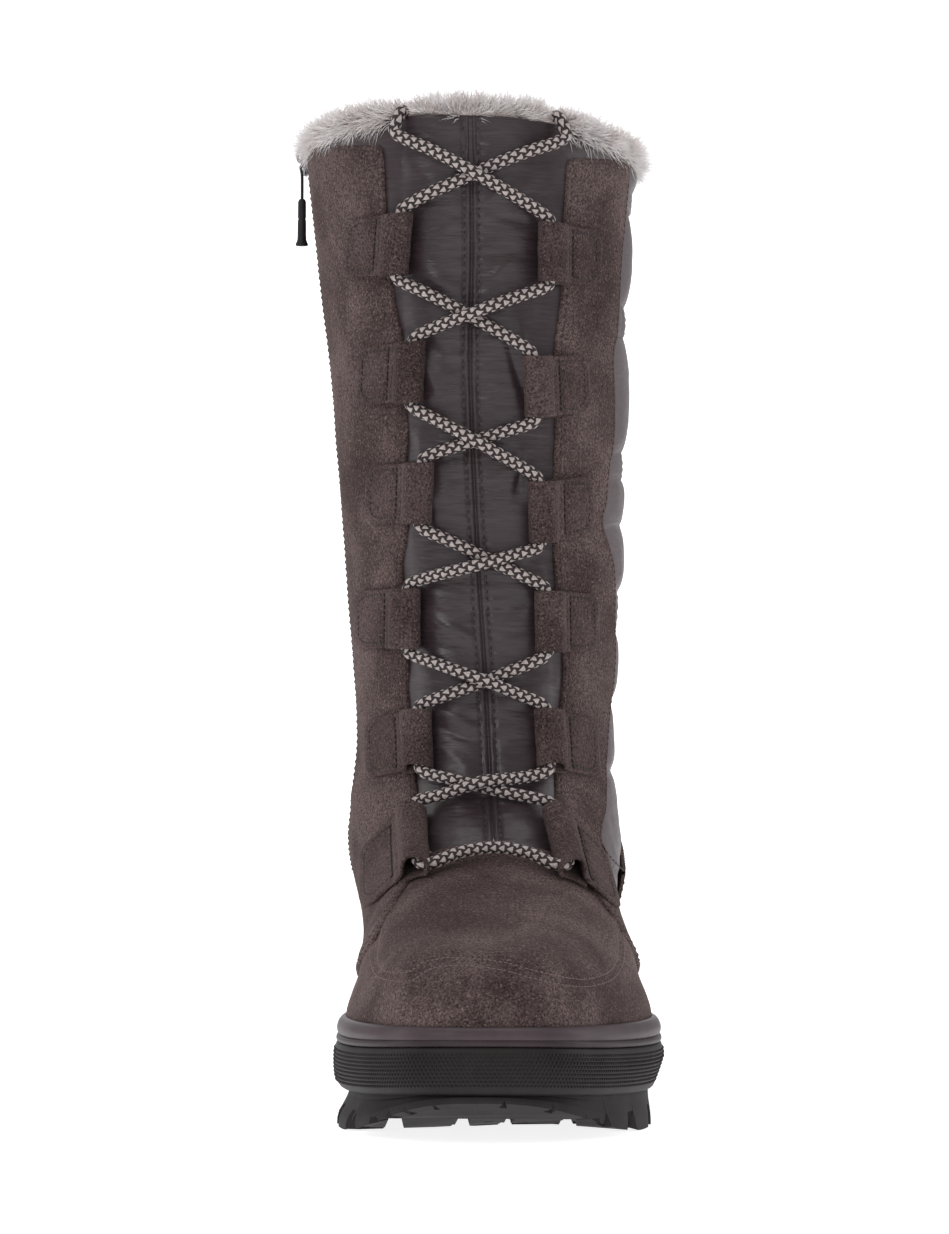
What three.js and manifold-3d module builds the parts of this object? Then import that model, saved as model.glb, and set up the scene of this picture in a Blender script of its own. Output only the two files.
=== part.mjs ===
// A knee-side winter boot for the left foot: cup sole with a lugged tread, fur-lined hollow upper with a laced front,
// nylon front panel, twelve leather lace loops and a side zip on the inner ankle.
// Millimetres, +Z up. The toe points to -Y, the outer side of the foot to +X, and the origin is on the floor under the
// middle of the boot's box.
import * as THREE from "three";
import { mergeVertices } from "three/addons/utils/BufferGeometryUtils.js";
import Module from "manifold-3d";

const wasm = await Module();
wasm.setup();

// Driving dimensions.
const LENGTH = 272; // over the sole's side band
const BALL_WIDTH = 99.2; // over the upper at the ball
const COLLAR_HEIGHT = 334; // front edge of the collar above the floor
const WALL = 6; // leather, membrane and fur lining together
const GAP = 0.35; // between pieces that touch
const TOE_SPRING = 4.5; // rise of the side band at the toe
const TREAD_SPRING = 16; // rise of the tread at the toe
const SPRING_START = { band: 190, tread: 205 }; // distance from the heel where each begins to rise
const LACE_RADIUS = 2;

// Heights of the sole's layers at the ball.
const TREAD_ROOT = 7; // bottom of the grooves
const BAND_BOTTOM = 12.2;
const CUP_FLOOR = 20.7;
const BAND_TOP = 27;
const WELT_TOP = 35.3;
const WELT_DIP = 2.2; // the welt is this much lower at the toe
const UPPER_BOTTOM = 21.05;
const INSOLE_TOP = 25.2;

// Level sections of the boot's outer form, from the sole to the collar. front and back are shares of LENGTH ahead of
// the heel; toe, ball, waist and heel are half widths, as shares of BALL_WIDTH, at the STATIONS along the section;
// shift moves the section to the outer side, in millimetres.
const SECTIONS = [
  { z: 24, front: 0.971, back: 0.028, toe: 0.296, ball: 0.494, waist: 0.388, heel: 0.338, shift: 0 },
  { z: 36, front: 0.974, back: 0.024, toe: 0.3, ball: 0.5, waist: 0.393, heel: 0.344, shift: 0 },
  { z: 42, front: 0.967, back: 0.022, toe: 0.296, ball: 0.484, waist: 0.39, heel: 0.342, shift: 0 },
  { z: 48, front: 0.955, back: 0.02, toe: 0.286, ball: 0.46, waist: 0.4, heel: 0.343, shift: 0 },
  { z: 54, front: 0.931, back: 0.02, toe: 0.268, ball: 0.446, waist: 0.413, heel: 0.343, shift: 0 },
  { z: 60, front: 0.884, back: 0.022, toe: 0.248, ball: 0.427, waist: 0.426, heel: 0.342, shift: 0 },
  { z: 66, front: 0.812, back: 0.025, toe: 0.232, ball: 0.418, waist: 0.44, heel: 0.342, shift: 0.1 },
  { z: 72, front: 0.742, back: 0.029, toe: 0.225, ball: 0.416, waist: 0.454, heel: 0.344, shift: 0.2 },
  { z: 80, front: 0.654, back: 0.034, toe: 0.222, ball: 0.419, waist: 0.47, heel: 0.347, shift: 0.4 },
  { z: 88, front: 0.588, back: 0.039, toe: 0.225, ball: 0.423, waist: 0.476, heel: 0.349, shift: 0.5 },
  { z: 100, front: 0.533, back: 0.046, toe: 0.225, ball: 0.421, waist: 0.466, heel: 0.345, shift: 0.5 },
  { z: 124, front: 0.487, back: 0.051, toe: 0.222, ball: 0.409, waist: 0.446, heel: 0.341, shift: 0.5 },
  { z: 164, front: 0.474, back: 0.046, toe: 0.234, ball: 0.431, waist: 0.472, heel: 0.358, shift: 0.3 },
  { z: 207, front: 0.478, back: 0.035, toe: 0.245, ball: 0.454, waist: 0.496, heel: 0.377, shift: -0.6 },
  { z: 250, front: 0.482, back: 0.024, toe: 0.255, ball: 0.474, waist: 0.518, heel: 0.393, shift: -2.2 },
  { z: 290, front: 0.485, back: 0.015, toe: 0.267, ball: 0.497, waist: 0.544, heel: 0.413, shift: -4.1 },
  { z: COLLAR_HEIGHT, front: 0.493, back: 0.009, toe: 0.287, ball: 0.529, waist: 0.579, heel: 0.439, shift: -5.2 },
];

// Where along a section its half widths are given: cosine of the angle from the toe.
const STATIONS = [
  { at: -0.7, key: "heel" },
  { at: -0.155, key: "waist" },
  { at: 0.43, key: "ball" },
  { at: 0.89, key: "toe" },
];
const ROUNDING = 0.7; // 1 makes an ellipse, less squares the toe and heel

// Curve of a left foot's middle line, in millimetres to the outer side, while the section is still foot.
const FOOT_CURVE = [
  { at: -1, bend: 0 },
  { at: -0.155, bend: 2.5 },
  { at: 0.43, bend: 1.5 },
  { at: 0.89, bend: -4 },
  { at: 1, bend: -6 },
];
const FOOT_ENDS = { full: 42, none: 95 }; // heights between which the foot's curve dies out

// Half width of the throat, between the two facings.
const THROAT = [
  { z: 78, half: 22.5 },
  { z: 100, half: 24 },
  { z: 132, half: 25.8 },
  { z: 172, half: 25.5 },
  { z: 207, half: 23.4 },
  { z: 250, half: 25 },
  { z: 290, half: 27.5 },
  { z: 346, half: 31.5 },
];
const THROAT_FOOT = { z: 83.5, rise: 6.2 }; // height of the vamp's top edge at the sides, and of its arch

// How far the front seam stands to the outer side: it bows to the inner side on its way up.
const SEAM = [
  { z: 84, x: 1.1 },
  { z: 140, x: -1.3 },
  { z: 190, x: -4.6 },
  { z: 250, x: -7.3 },
  { z: 290, x: -6.9 },
  { z: 334, x: -7.7 },
];

// Rows of lace loops, from the vamp up, the inner one and then the outer one: height, distance of the lace from the
// front seam, and how far the tail drops.
const LOOPS = [
  [{ z: 89.2, spread: 24.5, drop: 9 }, { z: 88.8, spread: 20.9, drop: 9 }],
  [{ z: 123, spread: 21.2, drop: 1 }, { z: 123.3, spread: 18.6, drop: 1 }],
  [{ z: 164.5, spread: 22.7, drop: 0 }, { z: 163.7, spread: 20.8, drop: 0 }],
  [{ z: 206.9, spread: 16.6, drop: 0.5 }, { z: 200.6, spread: 20.9, drop: -2 }],
  [{ z: 247.7, spread: 18, drop: 0.5 }, { z: 242.7, spread: 21, drop: -1.5 }],
  [{ z: 291, spread: 23, drop: 0 }, { z: 288.9, spread: 24.9, drop: -1 }],
];
const LOOP = { half: 10.6, reach: 18.5, bore: 3.25, wall: 1.15, leather: 2, lift: 0.9, rise: 5.2, taper: 0.12 };

// Side zip on the inner side: angle round the section, lowest and highest point, and width of the open slot.
const ZIP = { angle: THREE.MathUtils.degToRad(261), foot: 74, top: 333, half: 4.6, depth: 3.2 };

// ---------------------------------------------------------------------------------------------------- the last

// One column of a table at a value of its key column, on a smooth curve through its rows.
function along(rows, key, at, value) {
  const last = rows.length - 1;
  let i = 0;
  while (i < last - 1 && value > rows[i + 1][at]) i++;
  const slope = (k) => {
    const low = rows[Math.max(k - 1, 0)];
    const high = rows[Math.min(k + 1, last)];
    return (high[key] - low[key]) / (high[at] - low[at]);
  };
  const [a, b] = [rows[i], rows[i + 1]];
  const step = b[at] - a[at];
  const t = THREE.MathUtils.clamp((value - a[at]) / step, 0, 1);
  const [t2, t3] = [t * t, t * t * t];
  return (
    a[key] * (2 * t3 - 3 * t2 + 1) +
    b[key] * (3 * t2 - 2 * t3) +
    step * (slope(i) * (t3 - 2 * t2 + t) + slope(i + 1) * (t3 - t2))
  );
}

const sectionCache = new Map();

// The section at a height, with its half widths as a table along the section.
function section(z) {
  if (!sectionCache.has(z)) {
    const column = (key) => along(SECTIONS, key, "z", z);
    sectionCache.set(z, {
      front: LENGTH * column("front"),
      back: LENGTH * column("back"),
      shift: column("shift"),
      foot: 1 - THREE.MathUtils.smoothstep(z, FOOT_ENDS.full, FOOT_ENDS.none),
      halves: STATIONS.map(({ at, key }) => ({
        at,
        half: (BALL_WIDTH * column(key)) / Math.sqrt(1 - at * at) ** ROUNDING,
      })),
    });
  }
  return sectionCache.get(z);
}

// A point of the section's outline. The angle is 0 at the toe, a quarter turn on the outer side, a half at the heel.
function outline(angle, z) {
  const row = section(z);
  const c = Math.cos(angle);
  const half = along(row.halves, "half", "at", c) * Math.abs(Math.sin(angle)) ** ROUNDING;
  return {
    x: row.shift + row.foot * along(FOOT_CURVE, "bend", "at", c) + Math.sign(Math.sin(angle)) * half,
    s: row.back + ((row.front - row.back) * (1 + c)) / 2,
  };
}

// Rise of the foot's layers towards the toe.
const springAt = (s, rise, start) => rise * (Math.max(0, s - start) / (LENGTH - start)) ** 2;
const lift = (s) => springAt(s, TOE_SPRING, SPRING_START.band);
const treadLift = (s) => springAt(s, TREAD_SPRING, SPRING_START.tread);

// The collar's edge is lower at the sides and the back than in front. The drop begins at a height and grows upwards.
const COLLAR_DROP = { start: 250, back: 4, sides: 4.5, outer: 2.5 };

function collarDrop(angle, z) {
  const { start, back, sides, outer } = COLLAR_DROP;
  const share = Math.max(0, (z - start) / (COLLAR_HEIGHT - start));
  const sine = Math.sin(angle);
  return -share * (back * (1 - Math.cos(angle)) + sides * sine * sine + outer * sine);
}

function skin(angle, z) {
  const { x, s } = outline(angle, z);
  return new THREE.Vector3(x, -s, z + lift(s) + collarDrop(angle, z));
}

// A point at a distance outside the boot's outer form.
function surface(angle, z, out = 0) {
  const point = skin(angle, z);
  if (!out) return point;
  const [da, dz] = [2e-3, 0.1];
  const round = skin(angle + da, z).sub(skin(angle - da, z));
  const up = skin(angle, z + dz).sub(skin(angle, z - dz));
  return point.addScaledVector(round.cross(up).normalize(), out);
}

// The same for a point given as it is seen from the front, by its distance to the outer side.
function onFront(x, z, out = 0) {
  let [low, high] = [-Math.PI / 2, Math.PI / 2];
  for (let k = 0; k < 40; k++) {
    const middle = (low + high) / 2;
    if (outline(middle, z).x < x) low = middle;
    else high = middle;
  }
  return surface((low + high) / 2, z, out);
}

const seam = (z) => along(SEAM, "x", "z", z);

// ------------------------------------------------------------------------------------------------ mesh helpers

const RING = 36; // points round a full section
const turn = (j) => (2 * Math.PI * j) / RING;

function bodyOf(points, triangles) {
  return new THREE.BufferGeometry()
    .setAttribute("position", new THREE.Float32BufferAttribute(points.flatMap((p) => p.toArray()), 3))
    .setIndex(triangles);
}

// A body between two sheets of rows x columns: point(i, j, 0) is the inner sheet and point(i, j, 1) the outer.
// A closed one runs on from its last column to its first.
function sheetBody(rows, columns, point, closed = false) {
  const points = [];
  for (let layer = 0; layer < 2; layer++)
    for (let i = 0; i < rows; i++) for (let j = 0; j < columns; j++) points.push(point(i, j, layer));
  const at = (i, j, layer) => (layer * rows + i) * columns + (j % columns);
  const triangles = [];
  const quad = (a, b, c, d) => triangles.push(a, b, c, a, c, d);
  const spans = closed ? columns : columns - 1;
  const top = rows - 1;
  for (let j = 0; j < spans; j++) {
    for (let i = 0; i < top; i++) {
      quad(at(i, j, 1), at(i, j + 1, 1), at(i + 1, j + 1, 1), at(i + 1, j, 1));
      quad(at(i, j, 0), at(i + 1, j, 0), at(i + 1, j + 1, 0), at(i, j + 1, 0));
    }
    quad(at(0, j, 0), at(0, j + 1, 0), at(0, j + 1, 1), at(0, j, 1));
    quad(at(top, j, 1), at(top, j + 1, 1), at(top, j + 1, 0), at(top, j, 0));
  }
  for (let i = 0; i < top && !closed; i++) {
    quad(at(i, 0, 1), at(i + 1, 0, 1), at(i + 1, 0, 0), at(i, 0, 0));
    quad(at(i, spans, 0), at(i + 1, spans, 0), at(i + 1, spans, 1), at(i, spans, 1));
  }
  return bodyOf(points, triangles);
}

// A body of rings round the foot, one for each level, closed below the first and above the last by rungs that run
// straight across the foot.
function ringBody(levels, point) {
  const count = RING;
  const points = levels.flatMap((level) => Array.from({ length: count }, (_, j) => point(level, j)));
  const triangles = [];
  const top = (levels.length - 1) * count;
  for (let k = 0; k < top; k += count)
    for (let j = 0; j < count; j++) {
      const next = (j + 1) % count;
      triangles.push(k + j, k + next, k + count + next, k + j, k + count + next, k + count + j);
    }
  for (let j = 0; j < count / 2; j++) {
    const [a, b, c, d] = [j, j + 1, count - j - 1, (count - j) % count];
    if (b !== c) triangles.push(c, b, a, top + a, top + b, top + c);
    if (a !== d) triangles.push(d, c, a, top + a, top + c, top + d);
  }
  return bodyOf(points, triangles);
}

function solid(geometry) {
  const bare = geometry.index ? geometry.toNonIndexed() : geometry.clone();
  bare.deleteAttribute("normal");
  bare.deleteAttribute("uv");
  const merged = mergeVertices(bare, 1e-4);
  return new wasm.Manifold(
    new wasm.Mesh({
      numProp: 3,
      vertProperties: merged.attributes.position.array,
      triVerts: new Uint32Array(merged.index.array),
    }),
  );
}

function geometryOf(made) {
  const mesh = made.getMesh();
  return new THREE.BufferGeometry()
    .setAttribute("position", new THREE.BufferAttribute(new Float32Array(mesh.vertProperties), 3))
    .setIndex(new THREE.BufferAttribute(mesh.triVerts, 1));
}

// A round bar between two points, or a tube when it has a bore.
function bar(from, to, radius, sides, bore = 0) {
  const profile = new THREE.Shape().absarc(0, 0, radius, 0, 2 * Math.PI);
  if (bore) profile.holes.push(new THREE.Path().absarc(0, 0, bore, 0, 2 * Math.PI, true));
  const axis = to.clone().sub(from);
  return new THREE.ExtrudeGeometry(profile, { depth: axis.length(), bevelEnabled: false, curveSegments: sides })
    .applyQuaternion(new THREE.Quaternion().setFromUnitVectors(new THREE.Vector3(0, 0, 1), axis.normalize()))
    .translate(...from.toArray());
}

// ------------------------------------------------------------------------------------------------- the sole

// A point of the sole's plan, set out from the foot of the upper.
function footprint(angle, out) {
  const level = 36;
  const here = outline(angle, level);
  const da = 2e-3;
  const [ahead, behind] = [outline(angle + da, level), outline(angle - da, level)];
  const normal = new THREE.Vector2(behind.s - ahead.s, ahead.x - behind.x).normalize();
  return { x: here.x + out * normal.x, s: here.s + out * normal.y };
}

// The side band bulges between the tread and the welt and ends in a rim round the upper.
function midsole() {
  const levels = [
    { z: BAND_BOTTOM, out: 0.2 },
    { z: BAND_BOTTOM + 2, out: 2.4 },
    { z: BAND_BOTTOM + 5, out: 3.5 },
    { z: BAND_BOTTOM + 9.5, out: 3.9 },
    { z: BAND_TOP - 1.6, out: 3.5 },
    { z: BAND_TOP, out: 2.9 },
    { z: BAND_TOP, out: GAP },
    { z: CUP_FLOOR, out: GAP },
  ];
  return ringBody(levels, ({ z, out }, j) => {
    const { x, s } = footprint(turn(j), out);
    return new THREE.Vector3(x, -s, z + lift(s));
  });
}

// A hoop round the boot through the corners of one section, each given by its height and its distance out.
function hoop(corners, point) {
  const points = corners.flatMap(({ z, out }) => Array.from({ length: RING }, (_, j) => point(turn(j), z, out)));
  const triangles = [];
  corners.forEach((_, i) => {
    const above = ((i + 1) % corners.length) * RING;
    for (let j = 0; j < RING; j++) {
      const next = (j + 1) % RING;
      triangles.push(i * RING + j, i * RING + next, above + next, i * RING + j, above + next, above + j);
    }
  });
  return bodyOf(points, triangles);
}

// A rounded bead on the rim, close against the upper.
function welt() {
  const low = BAND_TOP + 2 * GAP;
  const bead = [
    { z: low, out: GAP },
    { z: low, out: 2.4 },
    { z: low + 1.4, out: 3.2 },
    { z: low + 4.6, out: 3 },
    { z: WELT_TOP - 1, out: 1.9 },
    { z: WELT_TOP, out: GAP },
  ];
  return hoop(bead, (angle, z, out) => {
    const dip = (WELT_DIP * (z - low)) / (WELT_TOP - low);
    const { s } = outline(angle, z);
    return surface(angle, z - springAt(s, dip, SPRING_START.band), out);
  });
}

// A groove through the tread: a channel with sloping walls along a path of plan points.
function groove(path, width) {
  const [top, mouth] = [width * 0.35, width * 0.75];
  const profile = new THREE.Shape([
    new THREE.Vector2(-mouth, -TREAD_ROOT - 3),
    new THREE.Vector2(mouth, -TREAD_ROOT - 3),
    new THREE.Vector2(top, 0),
    new THREE.Vector2(-top, 0),
  ]);
  return path.slice(1).map((end, k) => {
    const start = path[k];
    const across = new THREE.Vector3(end.x - start.x, start.s - end.s, 0);
    const length = across.length();
    const turned = Math.atan2(across.y, across.x);
    return new THREE.ExtrudeGeometry(profile, { depth: length + top, bevelEnabled: false })
      .rotateX(Math.PI / 2)
      .rotateZ(Math.PI / 2)
      .rotateZ(turned)
      .translate(start.x, -start.s, TREAD_ROOT);
  });
}

const CROSS_GROOVES = [16, 39, 62, 85, 131, 154, 177, 200, 223, 246];
const CROSS_GROOVE = { width: 6.5, vee: 7, over: 62 };
const LONG_GROOVES = [
  { x: -33, width: 5.5 },
  { x: -11.4, width: 5.2 },
  { x: 3.2, width: 3.8 },
  { x: 22, width: 6 },
];
const ARCH = { start: 84, end: 132, rise: 5, width: 140 }; // the tread clears the floor under the waist

function outsole() {
  const levels = [
    { z: 0, out: 1.5, inner: 1.6, rise: treadLift },
    { z: 4, out: 1.2, inner: 1.3, rise: (s) => 0.8 * treadLift(s) },
    { z: 8.5, out: -0.4, inner: 0.4, rise: (s) => 0.5 * treadLift(s) },
    { z: BAND_BOTTOM - GAP, out: -0.8, inner: 0, rise: lift },
  ];
  let tread = solid(
    ringBody(levels, ({ z, out, inner, rise }, j) => {
      const { x, s } = footprint(turn(j), out - inner * Math.sin(turn(j)));
      return new THREE.Vector3(x, -s, z + rise(s));
    }),
  );
  const cut = (geometry) => {
    tread = tread.subtract(solid(geometry));
  };
  for (const s of CROSS_GROOVES) {
    const { width, vee, over } = CROSS_GROOVE;
    groove([{ x: -over, s: s - vee }, { x: 0, s: s + vee }, { x: over, s: s - vee }], width).forEach(cut);
  }
  for (const { x, width } of LONG_GROOVES)
    groove([{ x: x * 0.65, s: -10 }, { x, s: 170 }, { x, s: 285 }], width).forEach(cut);
  cut(
    new THREE.BoxGeometry(ARCH.width, ARCH.end - ARCH.start, 2 * ARCH.rise).translate(
      0,
      -(ARCH.start + ARCH.end) / 2,
      0,
    ),
  );
  return geometryOf(tread);
}

function insole() {
  const levels = [CUP_FLOOR + GAP, CUP_FLOOR + 2.5, INSOLE_TOP];
  return ringBody(levels, (z, j) => {
    const { x, s } = footprint(turn(j), -WALL - 1.6);
    return new THREE.Vector3(x, -s, z + lift(s));
  });
}

// ------------------------------------------------------------------------------------------------- the upper

// Outline of the throat as seen from the front, drawn in by an inset, as a block that passes through the front wall.
function throatBlock(inset) {
  const steps = 16;
  const [foot, head] = [THROAT_FOOT.z + inset, COLLAR_HEIGHT + 16];
  const half = (z) => along(THROAT, "half", "z", z) - inset;
  const edge = (side) =>
    Array.from({ length: steps + 1 }, (_, k) => {
      const z = foot + ((head - foot) * k) / steps;
      return new THREE.Vector2(seam(z) + side * half(z), z);
    });
  const vamp = [-0.66, -0.33, 0, 0.33, 0.66].map(
    (t) => new THREE.Vector2(seam(foot) + t * half(foot), foot + THROAT_FOOT.rise * (1 - t * t)),
  );
  return new THREE.ExtrudeGeometry(new THREE.Shape([...vamp, ...edge(1), ...edge(-1).reverse()]), {
    depth: LENGTH,
    bevelEnabled: false,
  })
    .rotateX(Math.PI / 2)
    .translate(0, -LENGTH * 0.31, 0);
}

const UPPER_LEVELS = [
  ...[UPPER_BOTTOM, 30, 36, 42, 49, 57, 65, 73, 82, 92],
  ...[103, 115, 130, 155, 185, 220, 255, 295, COLLAR_HEIGHT],
];

// A strip of the boot's wall round the zip, between two distances from the outer form.
function zipStrip(half, foot, top, low, high) {
  const rows = 12;
  return sheetBody(rows, 3, (i, j, layer) => {
    const z = foot + ((top - foot) * i) / (rows - 1);
    const { front, back } = section(z);
    const radius = (front - back) / 2;
    return surface(ZIP.angle + ((j - 1) * half) / radius, z, layer ? high : low);
  });
}

function upper() {
  const wall = sheetBody(
    UPPER_LEVELS.length,
    RING,
    (i, j, layer) => {
      const z = UPPER_LEVELS[i];
      const point = surface(turn(j), z, layer ? 0 : -WALL);
      if (i === 0) point.z = z + lift(-point.y);
      return point;
    },
    true,
  );
  const slot = zipStrip(ZIP.half, ZIP.foot, COLLAR_HEIGHT + 4, -ZIP.depth, 4);
  return geometryOf(solid(wall).subtract(solid(throatBlock(0))).subtract(solid(slot)));
}

// Padded nylon panel that fills the throat: it swells along the middle and sinks at its edges.
function tongue() {
  const [rows, columns] = [16, 7];
  const foot = THROAT_FOOT.z - 2;
  const sheet = sheetBody(rows, columns, (i, j, layer) => {
    const z = foot + ((COLLAR_HEIGHT - foot) * i) / (rows - 1);
    const across = (2 * j) / (columns - 1) - 1;
    const half = along(THROAT, "half", "z", z) + 1;
    const swell = -1.6 + 3.2 * (1 - across * across);
    return onFront(seam(z) + across * half, z, layer ? swell : -WALL + 0.5);
  });
  return geometryOf(solid(sheet).intersect(solid(throatBlock(GAP))));
}

// The fur stands up from the top edge of the wall, all the way round.
function furCuff() {
  const low = COLLAR_HEIGHT + 0.6;
  const tuft = [
    { z: low, out: -WALL },
    { z: low, out: -0.3 },
    { z: low + 4, out: 1.6 },
    { z: low + 7.6, out: 0.6 },
    { z: low + 9.2, out: -2.6 },
    { z: low + 7, out: -WALL - 1 },
  ];
  return hoop(tuft, surface);
}

// ------------------------------------------------------------------------------------------- loops and lace

// Middle of a loop's bore at its lower (end -1), middle (0) or upper (1) mouth.
function boreAt({ z, spread }, side, end) {
  const point = (to) => onFront(seam(z) + side * spread, z + to * LOOP.half, LOOP.rise);
  return point(-1).lerp(point(1), (end + 1) / 2);
}

// A folded leather strap: a tube round the lace and a flat tail that lies on the facing.
function laceLoop(loop, side) {
  const tail = sheetBody(2, 4, (i, j, layer) => {
    const t = side > 0 ? j / 3 : 1 - j / 3;
    const z = loop.z + LOOP.half * (2 * i - 1) * (1 - LOOP.taper * t) - loop.drop * t;
    const x = seam(loop.z) + side * (loop.spread + LOOP.reach * t);
    return onFront(x, z, LOOP.lift + layer * LOOP.leather);
  });
  const [low, high] = [boreAt(loop, side, -1), boreAt(loop, side, 1)];
  const past = high.clone().sub(low).setLength(3);
  const tube = solid(bar(low, high, LOOP.bore + LOOP.wall, 5));
  const bore = solid(bar(low.clone().sub(past), high.clone().add(past), LOOP.bore, 4));
  return geometryOf(tube.add(solid(tail)).subtract(bore));
}

const LACE_STEPS = 60; // along each half of the lace
const LACE_STACK = 1.9; // how far the upper strand of a crossing rides out, in radii of the lace
const LACE_BAR = { z: 84.4, drop: 11, out: 0.6 }; // the bar over the vamp: height, drop of its ends, way out
const MOUTH = 1.25; // where the lace turns off past a loop, in halves of the loop
const LACE_HEAD = { z: COLLAR_HEIGHT - 6, spread: [22, 28] };

const loopOf = (row, side) => row[side > 0 ? 1 : 0];

// One strand of the lace from the bar over the vamp to the collar, crossing over or under at the front seam.
function strand(side, over) {
  const raised = over ? LACE_STACK * LACE_RADIUS : 0;
  const points = [];
  let at = side;
  LOOPS.forEach((row, k) => {
    const here = loopOf(row, at);
    points.push(...[-MOUTH, -0.8, 0, 0.8, MOUTH].map((end) => boreAt(here, at, end)));
    const next = LOOPS[k + 1] && loopOf(LOOPS[k + 1], -at);
    const above = next ? next.z - MOUTH * LOOP.half : LACE_HEAD.z;
    const reach = next ? next.spread : LACE_HEAD.spread[at > 0 ? 0 : 1];
    const below = here.z + MOUTH * LOOP.half;
    for (const t of [0.25, 0.5, 0.75]) {
      const z = below + (above - below) * t;
      const x = seam(z) + at * (here.spread * (1 - t) - reach * t);
      points.push(onFront(x, z, LOOP.rise + raised * Math.sin(Math.PI * t) ** 2));
    }
    at = -at;
    if (!next) points.push(onFront(seam(above) + at * reach, above, LOOP.rise));
  });
  return points;
}

function cord(points, steps) {
  const profile = new THREE.Shape().absarc(0, 0, LACE_RADIUS, 0, 2 * Math.PI);
  return new THREE.ExtrudeGeometry(profile, {
    steps,
    bevelEnabled: false,
    curveSegments: 3,
    extrudePath: new THREE.CatmullRomCurve3(points),
  });
}

function lace() {
  const across = [-0.72, -0.4, 0, 0.4, 0.72].map((t) => {
    const z = LACE_BAR.z - LACE_BAR.drop * t * t;
    return onFront(seam(z) + t * loopOf(LOOPS[0], t).spread, z, LOOP.rise + LACE_BAR.out);
  });
  const right = strand(1, false);
  const left = strand(-1, true);
  const route = [...left.reverse(), ...across, ...right];
  const middle = left.length + 2;
  const lower = cord(route.slice(0, middle + 1), LACE_STEPS);
  const upper = cord(route.slice(middle), LACE_STEPS);
  return geometryOf(solid(lower).add(solid(upper)));
}

// ------------------------------------------------------------------------------------------------- the zip

const zipTape = () => zipStrip(ZIP.half - GAP, ZIP.foot + GAP, ZIP.top, GAP - ZIP.depth, -0.3);

const SLIDER = { z: 333, height: 9, above: 1.4, width: 7.6, low: 0.05, high: 1.2 };
const BAIL = { out: 3.4, top: 1.8, foot: -2.6, wire: 0.5 }; // arch over the slider that holds the ring
const RING_PULL = { radius: 2.05, wire: 0.42, out: 1.85 };

// Where the slider stands, with its own axes: out of the boot, up the zip, and round it.
function zipFrame() {
  const z = SLIDER.z;
  const foot = surface(ZIP.angle, z, 0);
  const out = surface(ZIP.angle, z, 1).sub(foot).setZ(0).normalize();
  const up = new THREE.Vector3(0, 0, 1);
  return { foot, out, up, round: up.clone().cross(out) };
}

// The pull: the grip's radius by height above its flared end, its neck and how far it all hangs below the hinge.
const PULL = {
  neck: 12,
  length: 32,
  grip: [
    { up: 0, radius: 0 },
    { up: 0, radius: 2.2 },
    { up: 1, radius: 2.2 },
    { up: 2.4, radius: 1.6 },
    { up: 15, radius: 1.45 },
    { up: 17, radius: 1.1 },
    { up: 17, radius: 0 },
  ],
};

function zipSlider() {
  const { foot, out, round } = zipFrame();
  const turned = new THREE.Matrix4().makeBasis(out, round, new THREE.Vector3(0, 0, 1)).setPosition(foot);
  const plate = new THREE.BoxGeometry(SLIDER.high - SLIDER.low, SLIDER.width, SLIDER.height).translate(
    (SLIDER.high + SLIDER.low) / 2,
    0,
    SLIDER.above - SLIDER.height / 2,
  );
  const at = (x, z) => new THREE.Vector3(x, 0, z);
  const legs = [BAIL.top, BAIL.foot].map((z) => bar(at(SLIDER.high - 0.5, z), at(BAIL.out, z), BAIL.wire, 4));
  const bridge = bar(at(BAIL.out, BAIL.foot - 0.3), at(BAIL.out, BAIL.top + 0.3), BAIL.wire, 4);
  let made = solid(plate);
  for (const piece of [...legs, bridge]) made = made.add(solid(piece));
  return geometryOf(made).applyMatrix4(turned);
}

// Wire ring under the slider's bail, a flat neck and a moulded grip with a flared end, hanging straight down.
// Its own axes start on the hinge, the middle of the ring's top wire.
function zipPull() {
  const { foot, out, round } = zipFrame();
  const turned = new THREE.Matrix4().makeBasis(out, round, new THREE.Vector3(0, 0, 1)).setPosition(
    foot.clone().addScaledVector(out, RING_PULL.out),
  );
  const { radius, wire } = RING_PULL;
  const ring = new THREE.TorusGeometry(radius, wire, 5, 12).rotateY(Math.PI / 2).translate(0, 0, -radius);
  const neck = new THREE.BoxGeometry(0.8, 2, PULL.neck).translate(0, 0, -2 * radius - PULL.neck / 2);
  const profile = PULL.grip.map(({ up, radius: wide }) => new THREE.Vector2(wide, up));
  const grip = new THREE.LatheGeometry(profile, 10).rotateX(Math.PI / 2).translate(0, 0, -PULL.length);
  return geometryOf(solid(ring).add(solid(neck)).add(solid(grip))).applyMatrix4(turned);
}

// --------------------------------------------------------------------------------------------- the assembly

const finish = (colour, roughness, metalness = 0) =>
  new THREE.MeshStandardMaterial({ color: colour, roughness, metalness });
const SUEDE = finish("#51423f", 0.95);
const NYLON = finish("#463a3e", 0.5);
const FUR = finish("#dccfcb", 1);
const BAND_RUBBER = finish("#2c2729", 0.6);
const WELT_RUBBER = finish("#4e4145", 0.55);
const TREAD_RUBBER = finish("#29262a", 0.8);
const FELT = finish("#b9aca6", 1);
const CORD = finish("#8b807e", 0.9);
const ZIP_TEETH = finish("#2e2a31", 0.6);
const METAL = finish("#77747a", 0.35, 1);
const GRIP = finish("#232024", 0.7);

const boot = new THREE.Group();

function add(name, geometry, material) {
  const mesh = new THREE.Mesh(geometry, material);
  mesh.name = name;
  boot.add(mesh);
}

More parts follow.
